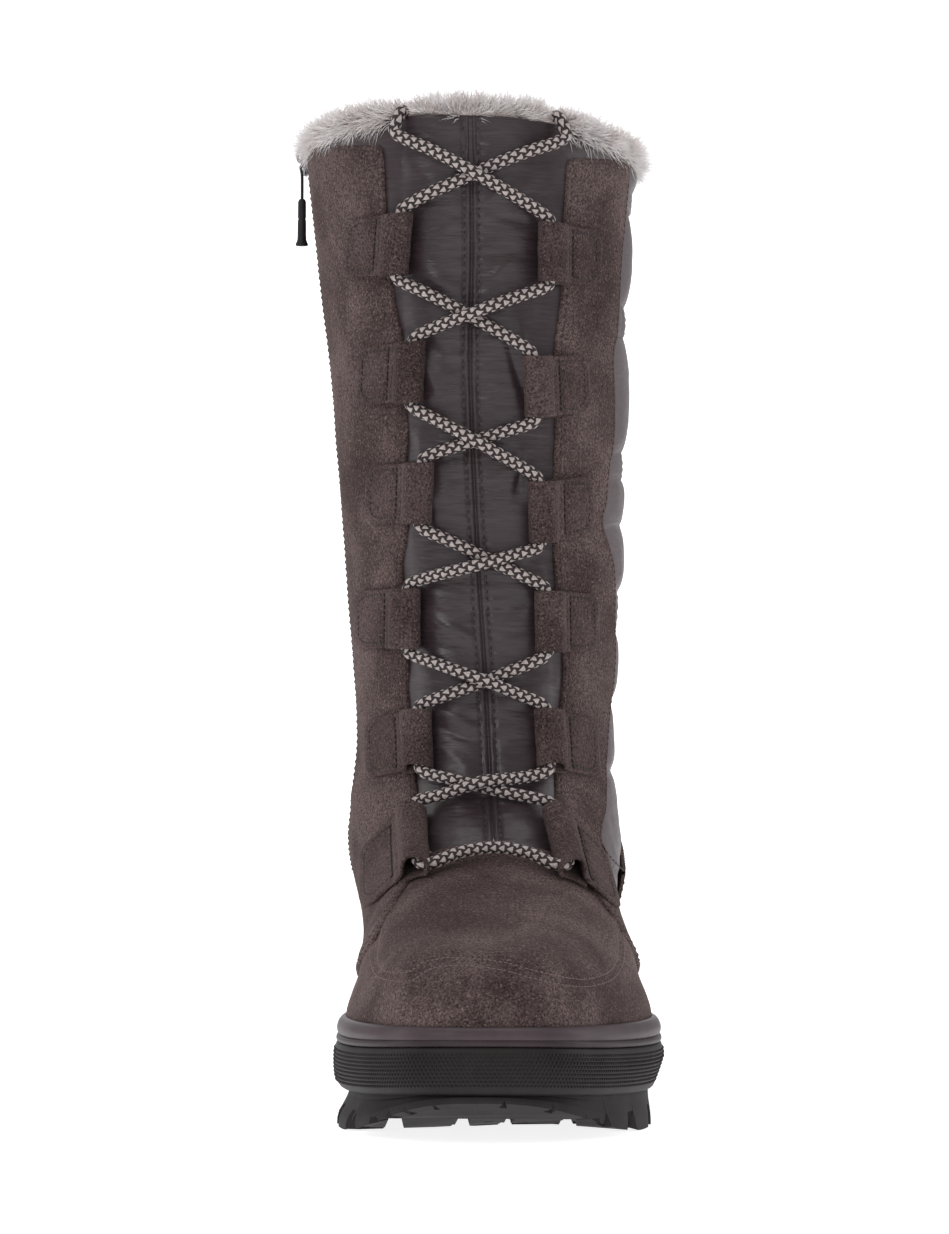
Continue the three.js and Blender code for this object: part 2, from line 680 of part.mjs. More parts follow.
add("outsole", outsole(), TREAD_RUBBER);
add("midsole", midsole(), BAND_RUBBER);
add("welt", welt(), WELT_RUBBER);
add("insole", insole(), FELT);
add("upper", upper(), SUEDE);
add("tongue", tongue(), NYLON);
add("fur_cuff", furCuff(), FUR);
LOOPS.forEach(([inner, outer], k) => {
  add(`loop_inner_${k + 1}`, laceLoop(inner, -1), SUEDE);
  add(`loop_outer_${k + 1}`, laceLoop(outer, 1), SUEDE);
});
add("lace", lace(), CORD);
add("zip_tape", zipTape(), ZIP_TEETH);
add("zip_slider", zipSlider(), METAL);
add("zip_pull", zipPull(), GRIP);

const box = new THREE.Box3().setFromObject(boot);
const middle = box.getCenter(new THREE.Vector3());
boot.position.set(-middle.x, -middle.y, -box.min.z);

export default boot;
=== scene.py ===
"""Looks of a tall fur-lined winter boot for the left foot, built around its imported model.

Every form is worked out in the boot's own axes, in millimetres: x to the outer side, s from the heel
towards the toe and z up from the floor. to_frame turns such points to the frame's metres.
"""
import math

import bmesh
import bpy
import numpy as np
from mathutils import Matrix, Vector


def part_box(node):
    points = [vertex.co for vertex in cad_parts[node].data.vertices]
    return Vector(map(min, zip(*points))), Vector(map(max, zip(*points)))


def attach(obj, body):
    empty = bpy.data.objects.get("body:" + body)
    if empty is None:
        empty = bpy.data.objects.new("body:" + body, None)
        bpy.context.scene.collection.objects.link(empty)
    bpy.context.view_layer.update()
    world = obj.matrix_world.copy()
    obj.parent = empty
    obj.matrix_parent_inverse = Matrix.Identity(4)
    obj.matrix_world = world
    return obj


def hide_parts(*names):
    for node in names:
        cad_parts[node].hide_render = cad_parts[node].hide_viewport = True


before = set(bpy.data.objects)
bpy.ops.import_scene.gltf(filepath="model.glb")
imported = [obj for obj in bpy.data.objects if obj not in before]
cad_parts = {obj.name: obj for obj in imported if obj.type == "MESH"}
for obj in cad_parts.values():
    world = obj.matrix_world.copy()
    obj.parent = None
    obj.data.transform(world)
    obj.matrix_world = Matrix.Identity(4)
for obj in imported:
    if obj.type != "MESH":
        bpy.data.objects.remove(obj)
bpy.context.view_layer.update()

# ---------------------------------------------------------------------------------------------- driving sizes

LENGTH = 272.0  # over the sole's side band
BALL_WIDTH = 99.2  # over the upper at the ball
COLLAR_HEIGHT = 334.0
WALL = 6.0  # leather, membrane and fur lining together
TOE_SPRING = 4.5
TREAD_SPRING = 16.0
SPRING_START = {"band": 190, "tread": 205}  # distance from the heel where each begins to rise
WELT_LOW, WELT_TOP, WELT_DIP = 27.7, 35.3, 2.2  # the welt is that much lower at the toe
LACE_RADIUS = 1.95
UPPER_FOOT = 32.5  # lower edge of the vamp and the heel counter, behind the welt

# Level sections of the outer form: front and back as shares of LENGTH, half widths at four stations as
# shares of BALL_WIDTH, and the section's shift to the outer side in millimetres.
COLUMNS = ("z", "front", "back", "toe", "ball", "waist", "heel", "shift")
SECTIONS = np.array([
    (24, 0.971, 0.028, 0.296, 0.494, 0.388, 0.338, 0),
    (36, 0.974, 0.024, 0.3, 0.5, 0.393, 0.344, 0),
    (42, 0.967, 0.022, 0.296, 0.484, 0.39, 0.342, 0),
    (48, 0.955, 0.02, 0.286, 0.46, 0.4, 0.343, 0),
    (54, 0.931, 0.02, 0.268, 0.446, 0.413, 0.343, 0),
    (60, 0.884, 0.022, 0.248, 0.427, 0.426, 0.342, 0),
    (66, 0.812, 0.025, 0.232, 0.418, 0.44, 0.342, 0.1),
    (72, 0.742, 0.029, 0.225, 0.416, 0.454, 0.344, 0.2),
    (80, 0.654, 0.034, 0.222, 0.419, 0.47, 0.347, 0.4),
    (88, 0.588, 0.039, 0.225, 0.423, 0.476, 0.349, 0.5),
    (100, 0.533, 0.046, 0.225, 0.421, 0.466, 0.345, 0.5),
    (124, 0.487, 0.051, 0.222, 0.409, 0.446, 0.341, 0.5),
    (164, 0.474, 0.046, 0.234, 0.431, 0.472, 0.358, 0.3),
    (207, 0.478, 0.035, 0.245, 0.454, 0.496, 0.377, -0.6),
    (250, 0.482, 0.024, 0.255, 0.474, 0.518, 0.393, -2.2),
    (290, 0.485, 0.015, 0.267, 0.497, 0.544, 0.413, -4.1),
    (COLLAR_HEIGHT, 0.493, 0.009, 0.287, 0.529, 0.579, 0.439, -5.2),
])
STATIONS = {"heel": -0.7, "waist": -0.155, "ball": 0.43, "toe": 0.89}
ROUNDING = 0.7
FOOT_CURVE = {"at": (-1, -0.155, 0.43, 0.89, 1), "bend": (0, 2.5, 1.5, -4, -6)}
FOOT_ENDS = (42, 95)

# Edges of the two facings beside the front panel, by height: distance from the front seam on the inner and
# outer side.
THROAT = {
    "z": (78, 111, 137, 151, 181, 195, 213, 230, 258, 274, 301, 322, 336),
    "inner": (25.1, 25.5, 26.8, 26.1, 26.1, 23.5, 23.3, 21.7, 23.0, 26.5, 29.2, 30.0, 31.5),
    "outer": (24.4, 22.4, 26.2, 27.8, 26.5, 26.9, 27.8, 29.0, 29.6, 31.2, 32.0, 33.5, 34),
}
# How far the front seam stands to the outer side, by height.
SEAM = {"z": (84, 140, 190, 250, 290, 334), "x": (1.1, -1.3, -4.6, -7.3, -6.9, -7.7)}
# Lace loops on the inner and outer side, from the vamp up: height, and distance of the lace from the front
# seam.
LOOPS = {
    -1: ((89.2, 24.5), (123, 21.2), (164.5, 22.7), (206.9, 16.6), (247.7, 18), (291, 23)),
    1: ((88.8, 20.9), (123.3, 18.6), (163.7, 20.8), (200.6, 20.9), (242.7, 21), (288.9, 24.9)),
}
ROWS = len(LOOPS[1])
LOOP_HALF = 10.6
LACE_BAR = {"z": 85.6, "drop": 8}
ZIP_ANGLE = math.radians(261)
ZIP = {"foot": 74, "top": 333, "half": 4.6}
SLIDER_Z = 333

# ------------------------------------------------------------------------------------------------- the last


def smooth_curve(xs, ys, x):
    """Values of a smooth curve through the points, held flat beyond its ends. ys may have one row for each
    of x."""
    xs = np.asarray(xs, float)
    ys = np.asarray(ys, float)
    x = np.clip(np.asarray(x, float), xs[0], xs[-1])
    last = len(xs) - 1
    low, high = np.maximum(np.arange(last + 1) - 1, 0), np.minimum(np.arange(last + 1) + 1, last)
    slopes = (ys[..., high] - ys[..., low]) / (xs[high] - xs[low])
    i = np.clip(np.searchsorted(xs, x, side="left") - 1, 0, last - 1)
    if ys.ndim == 1:
        pick = lambda table, k: table[k]
    else:
        pick = lambda table, k: np.take_along_axis(table, k[..., None], -1)[..., 0]
    step = xs[i + 1] - xs[i]
    t = (x - xs[i]) / step
    t2, t3 = t * t, t * t * t
    return (
        pick(ys, i) * (2 * t3 - 3 * t2 + 1)
        + pick(ys, i + 1) * (3 * t2 - 2 * t3)
        + step * (pick(slopes, i) * (t3 - 2 * t2 + t) + pick(slopes, i + 1) * (t3 - t2))
    )


def step_between(low, high, value):
    t = np.clip((value - low) / (high - low), 0, 1)
    return t * t * (3 - 2 * t)


def column(name, z):
    return smooth_curve(SECTIONS[:, 0], SECTIONS[:, COLUMNS.index(name)], z)


def outline(angle, z):
    """A point of the level section: the angle is 0 at the toe, a quarter turn on the outer side, a half at
    the heel."""
    angle, z = np.broadcast_arrays(np.asarray(angle, float), np.asarray(z, float))
    c, sine = np.cos(angle), np.sin(angle)
    at = np.array(list(STATIONS.values()))
    halves = np.stack([BALL_WIDTH * column(key, z) for key in STATIONS], -1)
    halves = halves / np.sqrt(1 - at * at) ** ROUNDING
    half = smooth_curve(at, halves, c) * np.abs(sine) ** ROUNDING
    foot = 1 - step_between(*FOOT_ENDS, z)
    x = column("shift", z) + foot * smooth_curve(FOOT_CURVE["at"], FOOT_CURVE["bend"], c)
    x = x + np.sign(sine) * half
    front, back = LENGTH * column("front", z), LENGTH * column("back", z)
    return x, back + (front - back) * (1 + c) / 2


def spring_at(s, rise, start):
    return rise * (np.maximum(0, s - start) / (LENGTH - start)) ** 2


def lift(s):
    return spring_at(s, TOE_SPRING, SPRING_START["band"])


def tread_lift(s):
    return spring_at(s, TREAD_SPRING, SPRING_START["tread"])


def skin(angle, z):
    x, s = outline(angle, z)
    share = np.maximum(0, (z - 250) / (COLLAR_HEIGHT - 250))
    sine = np.sin(angle)
    drop = share * (4 * (1 - np.cos(angle)) + 4.5 * sine * sine + 2.5 * sine)
    return np.stack([x, -s, z + lift(s) - drop], -1)


def unit(v):
    return v / np.maximum(np.linalg.norm(v, axis=-1, keepdims=True), 1e-9)


def surface(angle, z, out=0.0):
    """Points at a distance outside the outer form."""
    angle, z, out = np.broadcast_arrays(*(np.asarray(v, float) for v in (angle, z, out)))
    da, dz = 2e-3, 0.1
    around = skin(angle + da, z) - skin(angle - da, z)
    up = skin(angle, z + dz) - skin(angle, z - dz)
    return skin(angle, z) + out[..., None] * unit(np.cross(around, up))


def angle_at(x, z):
    """The angle on the front half whose point lies at x."""
    x, z = np.broadcast_arrays(np.asarray(x, float), np.asarray(z, float))
    low, high = np.full(x.shape, -math.pi / 2), np.full(x.shape, math.pi / 2)
    for _ in range(26):
        middle = (low + high) / 2
        short = outline(middle, z)[0] < x
        low, high = np.where(short, middle, low), np.where(short, high, middle)
    return (low + high) / 2


def seam(z):
    """The front seam bows to the inner side on its way up."""
    return smooth_curve(SEAM["z"], SEAM["x"], z)


def on_front(x, z, out=0.0):
    return surface(angle_at(x, z), z, out)


def footprint(angle, out):
    """A point of the sole's plan, set out from the foot of the upper."""
    x, s = outline(angle, 36.0)
    ahead, behind = outline(angle + 2e-3, 36.0), outline(angle - 2e-3, 36.0)
    normal = unit(np.stack([behind[1] - ahead[1], ahead[0] - behind[0]], -1))
    return x + out * normal[..., 0], s + out * normal[..., 1]


ring = np.linspace(0, 2 * math.pi, 36, endpoint=False)
own = np.stack(footprint(ring, 3.9), -1)
low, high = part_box("midsole")
SHIFT = np.array([
    (low.x + high.x) * 500 - (own[:, 0].min() + own[:, 0].max()) / 2,
    (low.y + high.y) * 500 + (own[:, 1].min() + own[:, 1].max()) / 2,
    0.0,
])


def to_frame(points):
    return (np.asarray(points, float) + SHIFT) / 1000

# --------------------------------------------------------------------------------------------------- meshes

BOOT, PULL = "boot", "zip_pull"


def grid_faces(rows, columns, closed=False, start=0, flip=False):
    i, j = np.meshgrid(np.arange(rows - 1), np.arange(columns if closed else columns - 1), indexing="ij")
    right = (j + 1) % columns
    quads = np.stack([i * columns + j, i * columns + right, (i + 1) * columns + right,
        (i + 1) * columns + j], -1)
    quads = quads.reshape(-1, 4) + start
    return quads[:, ::-1] if flip else quads


def slab(outer, inner, closed=False):
    """A body between two sheets of rows x columns points. A closed one runs on from its last column to its
    first."""
    rows, columns = outer.shape[:2]
    count = rows * columns
    faces = [grid_faces(rows, columns, closed), grid_faces(rows, columns, closed, count, flip=True)]
    loop = [(0, j) for j in range(columns)]
    if closed:
        rims = [[(0, j) for j in range(columns)] + [(0, 0)],
            [(rows - 1, -j % columns) for j in range(columns + 1)]]
    else:
        loop += [(i, columns - 1) for i in range(1, rows)]
        loop += [(rows - 1, j) for j in range(columns - 2, -1, -1)]
        loop += [(i, 0) for i in range(rows - 2, -1, -1)]
        rims = [loop]
    for rim in rims:
        index = np.array([i * columns + j for i, j in rim])
        faces.append(np.stack([index[:-1] + count, index[1:] + count, index[1:], index[:-1]], -1))
    return np.concatenate([outer.reshape(-1, 3), inner.reshape(-1, 3)]), np.concatenate(faces)


def tube(rings):
    """A closed body through rings of points, rows x columns, with a fan of triangles over each end."""
    rows, columns = rings.shape[:2]
    ends = np.stack([rings[0].mean(0), rings[-1].mean(0)])
    faces = grid_faces(rows, columns, closed=True).tolist()
    first, last = rows * columns, rows * columns + 1
    for j in range(columns):
        k = (j + 1) % columns
        faces.append((first, k, j))
        faces.append((last, (rows - 1) * columns + j, (rows - 1) * columns + k))
    return np.concatenate([rings.reshape(-1, 3), ends]), faces


def joined(*bodies):
    points, faces, start = [], [], 0
    for body_points, body_faces in bodies:
        points.append(body_points)
        faces += [[start + int(k) for k in face] for face in body_faces]
        start += len(body_points)
    return np.concatenate(points), faces


def mesh_object(name, body, material=None, smooth=True):
    points, faces = body
    mesh = bpy.data.meshes.new(name)
    faces = faces.tolist() if isinstance(faces, np.ndarray) else faces
    mesh.from_pydata(to_frame(points).tolist(), [], faces)
    mesh.polygons.foreach_set("use_smooth", [smooth] * len(mesh.polygons))
    mesh.update()
    made = bpy.data.objects.new(name, mesh)
    bpy.context.scene.collection.objects.link(made)
    if material:
        mesh.materials.append(material)
    return made


def piece(name, body, material, replaces=(), smooth=True, rides=BOOT):
    """A finished piece of the boot from points in the boot's own axes."""
    return settle(mesh_object(name, body, material, smooth), replaces, rides)


def settle(made, replaces=(), rides=BOOT):
    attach(made, rides)
    if replaces:
        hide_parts(*replaces)
    return made


def lumps(points, size, seed=0):
    """Smooth noise from -1 to 1 whose lumps have one size, in millimetres."""
    q = np.asarray(points, float) / size + 13.7 * (seed + 1)
    cell = np.floor(q).astype(np.int64)
    f = q - cell
    f = f * f * (3 - 2 * f)
    total = np.zeros(q.shape[:-1])
    for corner in range(8):
        offset = np.array([corner & 1, corner >> 1 & 1, corner >> 2 & 1])
        k = cell + offset
        mixed = k[..., 0] * 73856093 ^ k[..., 1] * 19349663 ^ k[..., 2] * 83492791
        mixed = (mixed ^ mixed >> 13) * 1274126177 & 0x7FFFFFFF
        value = (mixed >> 7 & 0xFFFF) / 32767.5 - 1
        total += value * np.prod(np.where(offset, f, 1 - f), -1)
    return total


def bell(x, width):
    return np.exp(-((x / width) ** 2))


def rounded(distance, radius):
    """Height of a rounded edge, from 0 at the edge to 1 a radius inside it."""
    return np.sqrt(np.clip(1 - (1 - np.clip(distance / radius, 0, 1)) ** 2, 0, 1))


def spread(count, length, edge=2.4, fine=5):
    """Places from 0 to 1 along a length, closer together near both ends."""
    near = np.linspace(0, 1, fine, endpoint=False) ** 1.5 * edge / length
    return np.concatenate([near, np.linspace(edge / length, 1 - edge / length, count), 1 - near[::-1]])


# ------------------------------------------------------------------------------------------- node helpers


def add(tree, kind, inputs=(), **settings):
    """Adds a node with its settings; each input takes a value or another node's output."""
    made = tree.nodes.new(kind)
    for key, value in settings.items():
        setattr(made, key, value)
    for key, value in dict(inputs).items():
        if isinstance(value, bpy.types.NodeSocket):
            tree.links.new(value, made.inputs[key])
        else:
            made.inputs[key].default_value = value
    return made


def colour(code):
    """An sRGB hex value as linear colour."""
    parts = [int(code[k : k + 2], 16) / 255 for k in (1, 3, 5)]
    return tuple(c / 12.92 if c <= 0.04045 else ((c + 0.055) / 1.055) ** 2.4 for c in parts) + (1.0,)


def geometry_tree(name, sizes):
    """An empty geometry tree with a geometry input, the named sizes and a geometry output."""
    tree = bpy.data.node_groups.new(name, "GeometryNodeTree")
    tree.interface.new_socket("Geometry", in_out="INPUT", socket_type="NodeSocketGeometry")
    for label, kind in sizes.items():
        tree.interface.new_socket(label, in_out="INPUT", socket_type="NodeSocket" + kind)
    tree.interface.new_socket("Geometry", in_out="OUTPUT", socket_type="NodeSocketGeometry")
    return tree, tree.nodes.new("NodeGroupInput"), tree.nodes.new("NodeGroupOutput")


def run_tree(source, tree, name, values):
    """Runs a geometry tree on an object and gives the result as a plain mesh object in its place."""
    modifier = source.modifiers.new(name, "NODES")
    modifier.node_group = tree
    for item in tree.interface.items_tree:
        if item.in_out == "INPUT" and item.name in values:
            modifier[item.identifier] = values[item.name]
    depsgraph = bpy.context.evaluated_depsgraph_get()
    mesh = bpy.data.meshes.new_from_object(source.evaluated_get(depsgraph))
    source.modifiers.remove(modifier)
    made = bpy.data.objects.new(name, mesh)
    bpy.context.scene.collection.objects.link(made)
    bpy.data.objects.remove(source)
    mesh.name = name
    return made


def oriented(tree, up, along):
    """A rotation whose Z follows one vector and whose X follows another."""
    turned = add(tree, "FunctionNodeAlignRotationToVector", {"Vector": up}, axis="Z")
    return add(
        tree, "FunctionNodeAlignRotationToVector", {"Rotation": turned.outputs[0], "Vector": along},
        axis="X", pivot_axis="Z",
    ).outputs[0]


def finish_tree(tree, outgoing, instances, material):
    real = add(tree, "GeometryNodeRealizeInstances", {"Geometry": instances})
    done = add(tree, "GeometryNodeSetMaterial", {"Geometry": real.outputs[0], "Material": material})
    tree.links.new(done.outputs[0], outgoing.inputs[0])


def along_tree():
    """Copies of one part set at even steps along lines, upright on the surface under them."""
    sizes = {"Part": "Object", "Step": "Float", "Scatter": "Float", "Seed": "Int", "Material": "Material"}
    tree, ingoing, outgoing = geometry_tree("set_along_lines", sizes)
    curve = add(tree, "GeometryNodeMeshToCurve", {"Mesh": ingoing.outputs["Geometry"]})
    points = add(
        tree, "GeometryNodeResampleCurve", {"Curve": curve.outputs[0], "Length": ingoing.outputs["Step"]},
        mode="LENGTH",
    )
    out = add(tree, "GeometryNodeInputNamedAttribute", {"Name": "out"}, data_type="FLOAT_VECTOR")
    tangent = add(tree, "GeometryNodeInputTangent")
    part = add(tree, "GeometryNodeObjectInfo", {"Object": ingoing.outputs["Part"]})
    jitter = add(
        tree, "FunctionNodeRandomValue",
        {"Min": (-1, -1, -1), "Max": (1, 1, 1), "Seed": ingoing.outputs["Seed"]}, data_type="FLOAT_VECTOR",
    )
    moved = add(tree, "ShaderNodeVectorMath", {0: jitter.outputs[0], "Scale": ingoing.outputs["Scatter"]},
                operation="SCALE")
    leaning = add(tree, "ShaderNodeVectorMath", {0: tangent.outputs[0], 1: moved.outputs[0]})
    copies = add(
        tree, "GeometryNodeInstanceOnPoints",
        {
            "Points": points.outputs[0],
            "Instance": part.outputs["Geometry"],
            "Rotation": oriented(tree, out.outputs[0], leaning.outputs[0]),
        },
    )
    finish_tree(tree, outgoing, copies.outputs[0], ingoing.outputs["Material"])
    return tree


def standing_tree():
    """Copies of one part standing on every vertex, upright on the surface under it."""
    tree, ingoing, outgoing = geometry_tree("set_on_points", {"Part": "Object", "Material": "Material"})
    out = add(tree, "GeometryNodeInputNamedAttribute", {"Name": "out"}, data_type="FLOAT_VECTOR")
    along = add(tree, "GeometryNodeInputNamedAttribute", {"Name": "along"}, data_type="FLOAT_VECTOR")
    part = add(tree, "GeometryNodeObjectInfo", {"Object": ingoing.outputs["Part"]})
    copies = add(
        tree, "GeometryNodeInstanceOnPoints",
        {
            "Points": ingoing.outputs["Geometry"],
            "Instance": part.outputs["Geometry"],
            "Rotation": oriented(tree, out.outputs[0], along.outputs[0]),
        },
    )
    finish_tree(tree, outgoing, copies.outputs[0], ingoing.outputs["Material"])
    return tree


def pile_tree():
    """Tapered hairs grown from a surface in clumps, leaning as the surface's own lay says."""
    sizes = {
        "Part": "Object", "Density": "Float", "Spread": "Float", "Clump": "Float", "Clump size": "Float",
        "Shortest": "Float", "Seed": "Int", "Material": "Material",
    }
    tree, ingoing, outgoing = geometry_tree("grow_pile", sizes)
    size = ingoing.outputs
    roots = add(
        tree, "GeometryNodeDistributePointsOnFaces",
        {"Mesh": size["Geometry"], "Density": size["Density"], "Seed": size["Seed"]},
    )
    lay = add(tree, "GeometryNodeInputNamedAttribute", {"Name": "lay"}, data_type="FLOAT_VECTOR")
    place = add(tree, "GeometryNodeInputPosition")
    tufts = add(tree, "ShaderNodeTexNoise",
        {"Vector": place.outputs[0], "Scale": size["Clump size"], "Detail": 1.0})
    centred = add(tree, "ShaderNodeVectorMath", {0: tufts.outputs["Color"], 1: (0.5, 0.5, 0.5)},
        operation="SUBTRACT")
    clumped = add(tree, "ShaderNodeVectorMath", {0: centred.outputs[0], "Scale": size["Clump"]},
        operation="SCALE")
    stray = add(
        tree, "FunctionNodeRandomValue", {"Min": (-1, -1, -1), "Max": (1, 1, 1), "Seed": size["Seed"]},
        data_type="FLOAT_VECTOR",
    )
    strayed = add(tree, "ShaderNodeVectorMath", {0: stray.outputs[0], "Scale": size["Spread"]},
        operation="SCALE")
    leaning = add(tree, "ShaderNodeVectorMath", {0: lay.outputs[0], 1: clumped.outputs[0]})
    leaning = add(tree, "ShaderNodeVectorMath", {0: leaning.outputs[0], 1: strayed.outputs[0]})
    part = add(tree, "GeometryNodeObjectInfo", {"Object": size["Part"]})
    long = add(
        tree, "FunctionNodeRandomValue", {2: size["Shortest"], 3: 1.0, "Seed": size["Seed"]},
        data_type="FLOAT",
    )
    thinned = add(tree, "GeometryNodeInputNamedAttribute", {"Name": "long"}, data_type="FLOAT")
    long = add(tree, "ShaderNodeMath", {0: long.outputs[1], 1: thinned.outputs[0]}, operation="MULTIPLY")
    copies = add(
        tree, "GeometryNodeInstanceOnPoints",
        {
            "Points": roots.outputs["Points"],
            "Instance": part.outputs["Geometry"],
            "Rotation": oriented(tree, leaning.outputs[0], stray.outputs[0]),
            "Scale": long.outputs[0],
        },
    )
    finish_tree(tree, outgoing, copies.outputs[0], size["Material"])
    return tree


def lines_object(name, lines):
    """Lines on the boot as edges, each point with the direction out of the surface under it."""
    points = np.concatenate([line for line, _ in lines])
    outs = np.concatenate([out for _, out in lines])
    edges, start = [], 0
    for line, _ in lines:
        edges += [(start + k, start + k + 1) for k in range(len(line) - 1)]
        start += len(line)
    mesh = bpy.data.meshes.new(name)
    mesh.from_pydata(to_frame(points).tolist(), edges, [])
    vectors(mesh, "out", outs)
    made = bpy.data.objects.new(name, mesh)
    bpy.context.scene.collection.objects.link(made)
    return made


def vectors(mesh, name, values):
    mesh.attributes.new(name, "FLOAT_VECTOR", "POINT").data.foreach_set("vector",
        np.asarray(values, float).ravel())


def part_object(name, points, faces, smooth=True):
    """A small part in metres round its own origin, for the geometry trees. It is removed after use."""
    mesh = bpy.data.meshes.new(name)
    mesh.from_pydata((np.asarray(points, float) / 1000).tolist(), [], faces)
    mesh.polygons.foreach_set("use_smooth", [smooth] * len(mesh.polygons))
    made = bpy.data.objects.new(name, mesh)
    bpy.context.scene.collection.objects.link(made)
    return made


# ------------------------------------------------------------------------------------------------ materials


def material(name):
    """A new material with its tree, its shader and the object's own coordinates in metres."""
    made = bpy.data.materials.new(name)
    made.use_nodes = True
    tree = made.node_tree
    place = add(tree, "ShaderNodeTexCoord").outputs["Object"]
    return made, tree, tree.nodes["Principled BSDF"].inputs, place


def across(size):
    """The noise scale, per metre, whose lumps are this many millimetres across."""
    return 1000 / size


def suede(name, deep, pale, fibre):
    """Split leather with a brushed nap: no gloss, soft light and dark patches where it was stroked, and paler
    fibre ends that catch light one by one. The nap is drawn at 0.7 mm, coarser than the real one, so that
    it shows."""
    made, tree, shader, place = material(name)
    stroked = add(tree, "ShaderNodeTexNoise",
        {"Vector": place, "Scale": across(30), "Detail": 3.0, "Distortion": 0.5})
    patches = add(tree, "ShaderNodeMapRange", {0: stroked.outputs["Fac"], 1: 0.34, 2: 0.68})
    ground = add(tree, "ShaderNodeMix", {0: patches.outputs[0], 6: colour(deep), 7: colour(pale)},
        data_type="RGBA")
    nap = add(tree, "ShaderNodeTexNoise",
        {"Vector": place, "Scale": across(0.75), "Detail": 2.0, "Roughness": 0.7})
    shade = add(tree, "ShaderNodeMapRange", {0: nap.outputs["Fac"], 1: 0.35, 2: 0.65, 3: 0.36, 4: 1.66})
    clumps = add(tree, "ShaderNodeTexNoise", {"Vector": place, "Scale": across(2.2), "Detail": 2.0})
    tufts = add(tree, "ShaderNodeMapRange", {0: clumps.outputs["Fac"], 1: 0.35, 2: 0.65, 3: 0.92, 4: 1.08})
    both = add(tree, "ShaderNodeMath", {0: shade.outputs[0], 1: tufts.outputs[0]}, operation="MULTIPLY")
    shaded = add(tree, "ShaderNodeVectorMath", {0: ground.outputs[2], "Scale": both.outputs[0]},
        operation="SCALE")
    ends = add(tree, "ShaderNodeTexNoise",
        {"Vector": place, "Scale": across(0.8), "Detail": 1.0, "Lacunarity": 2.6})
    ends = add(tree, "ShaderNodeMapRange", {0: ends.outputs["Fac"], 1: 0.6, 2: 0.72, 3: 0.0, 4: 0.4})
    fibres = add(tree, "ShaderNodeMix", {0: ends.outputs[0], 6: shaded.outputs[0], 7: colour(fibre)},
        data_type="RGBA")
    tree.links.new(fibres.outputs[2], shader["Base Color"])
    bump = add(tree, "ShaderNodeBump", {"Height": nap.outputs["Fac"], "Strength": 0.6, "Distance": 0.0005})
    rough = add(tree, "ShaderNodeBump",
        {"Height": clumps.outputs["Fac"], "Normal": bump.outputs[0], "Strength": 0.3,
                                         "Distance": 0.0005})
    tree.links.new(rough.outputs[0], shader["Normal"])
    shader["Roughness"].default_value = 0.96
    shader["Specular IOR Level"].default_value = 0.15
    shader["Sheen Weight"].default_value = 0.14
    shader["Sheen Roughness"].default_value = 0.45
    shader["Sheen Tint"].default_value = colour("#b7a09c")
    return made


def nylon(name, deep, pale, gloss):
    """Calendered nylon taffeta: a tight plain weave with a satin shine that runs along every fold,
    crumpled finely. The weave itself, 0.1 mm, is too fine to show, so only its slight streaks are drawn."""
    made, tree, shader, place = material(name)
    streaks = add(tree, "ShaderNodeMapping", {"Vector": place, "Scale": (across(9), across(9), across(0.7))})
    weave = add(tree, "ShaderNodeTexNoise", {"Vector": streaks.outputs[0], "Scale": 1.0, "Detail": 2.0})
    faded = add(tree, "ShaderNodeTexNoise", {"Vector": place, "Scale": across(18), "Detail": 3.0})
    tint = add(tree, "ShaderNodeMath", {0: weave.outputs["Fac"], 1: faded.outputs["Fac"]}, operation="ADD")
    tint = add(tree, "ShaderNodeMapRange", {0: tint.outputs[0], 1: 0.75, 2: 1.25})
    ground = add(tree, "ShaderNodeMix", {0: tint.outputs[0], 6: colour(deep), 7: colour(pale)},
        data_type="RGBA")
    tree.links.new(ground.outputs[2], shader["Base Color"])
    shine = add(tree, "ShaderNodeMapRange",
        {0: faded.outputs["Fac"], 1: 0.3, 2: 0.7, 3: gloss - 0.05, 4: gloss + 0.07})
    tree.links.new(shine.outputs[0], shader["Roughness"])
    crumple = add(tree, "ShaderNodeMapping",
        {"Vector": place, "Scale": (across(11), across(11), across(2.4))})
    crumple = add(tree, "ShaderNodeTexNoise", {"Vector": crumple.outputs[0], "Scale": 1.0, "Detail": 3.0})
    bump = add(tree, "ShaderNodeBump", {"Height": crumple.outputs["Fac"], "Strength": 0.5, "Distance": 0.001})
    fine = add(tree, "ShaderNodeBump",
        {"Height": weave.outputs["Fac"], "Normal": bump.outputs[0], "Strength": 0.25,
                                        "Distance": 0.0002})
    tree.links.new(fine.outputs[0], shader["Normal"])
    shader["IOR"].default_value = 1.53
    shader["Specular IOR Level"].default_value = 0.4
    shader["Sheen Weight"].default_value = 0.1
    return made


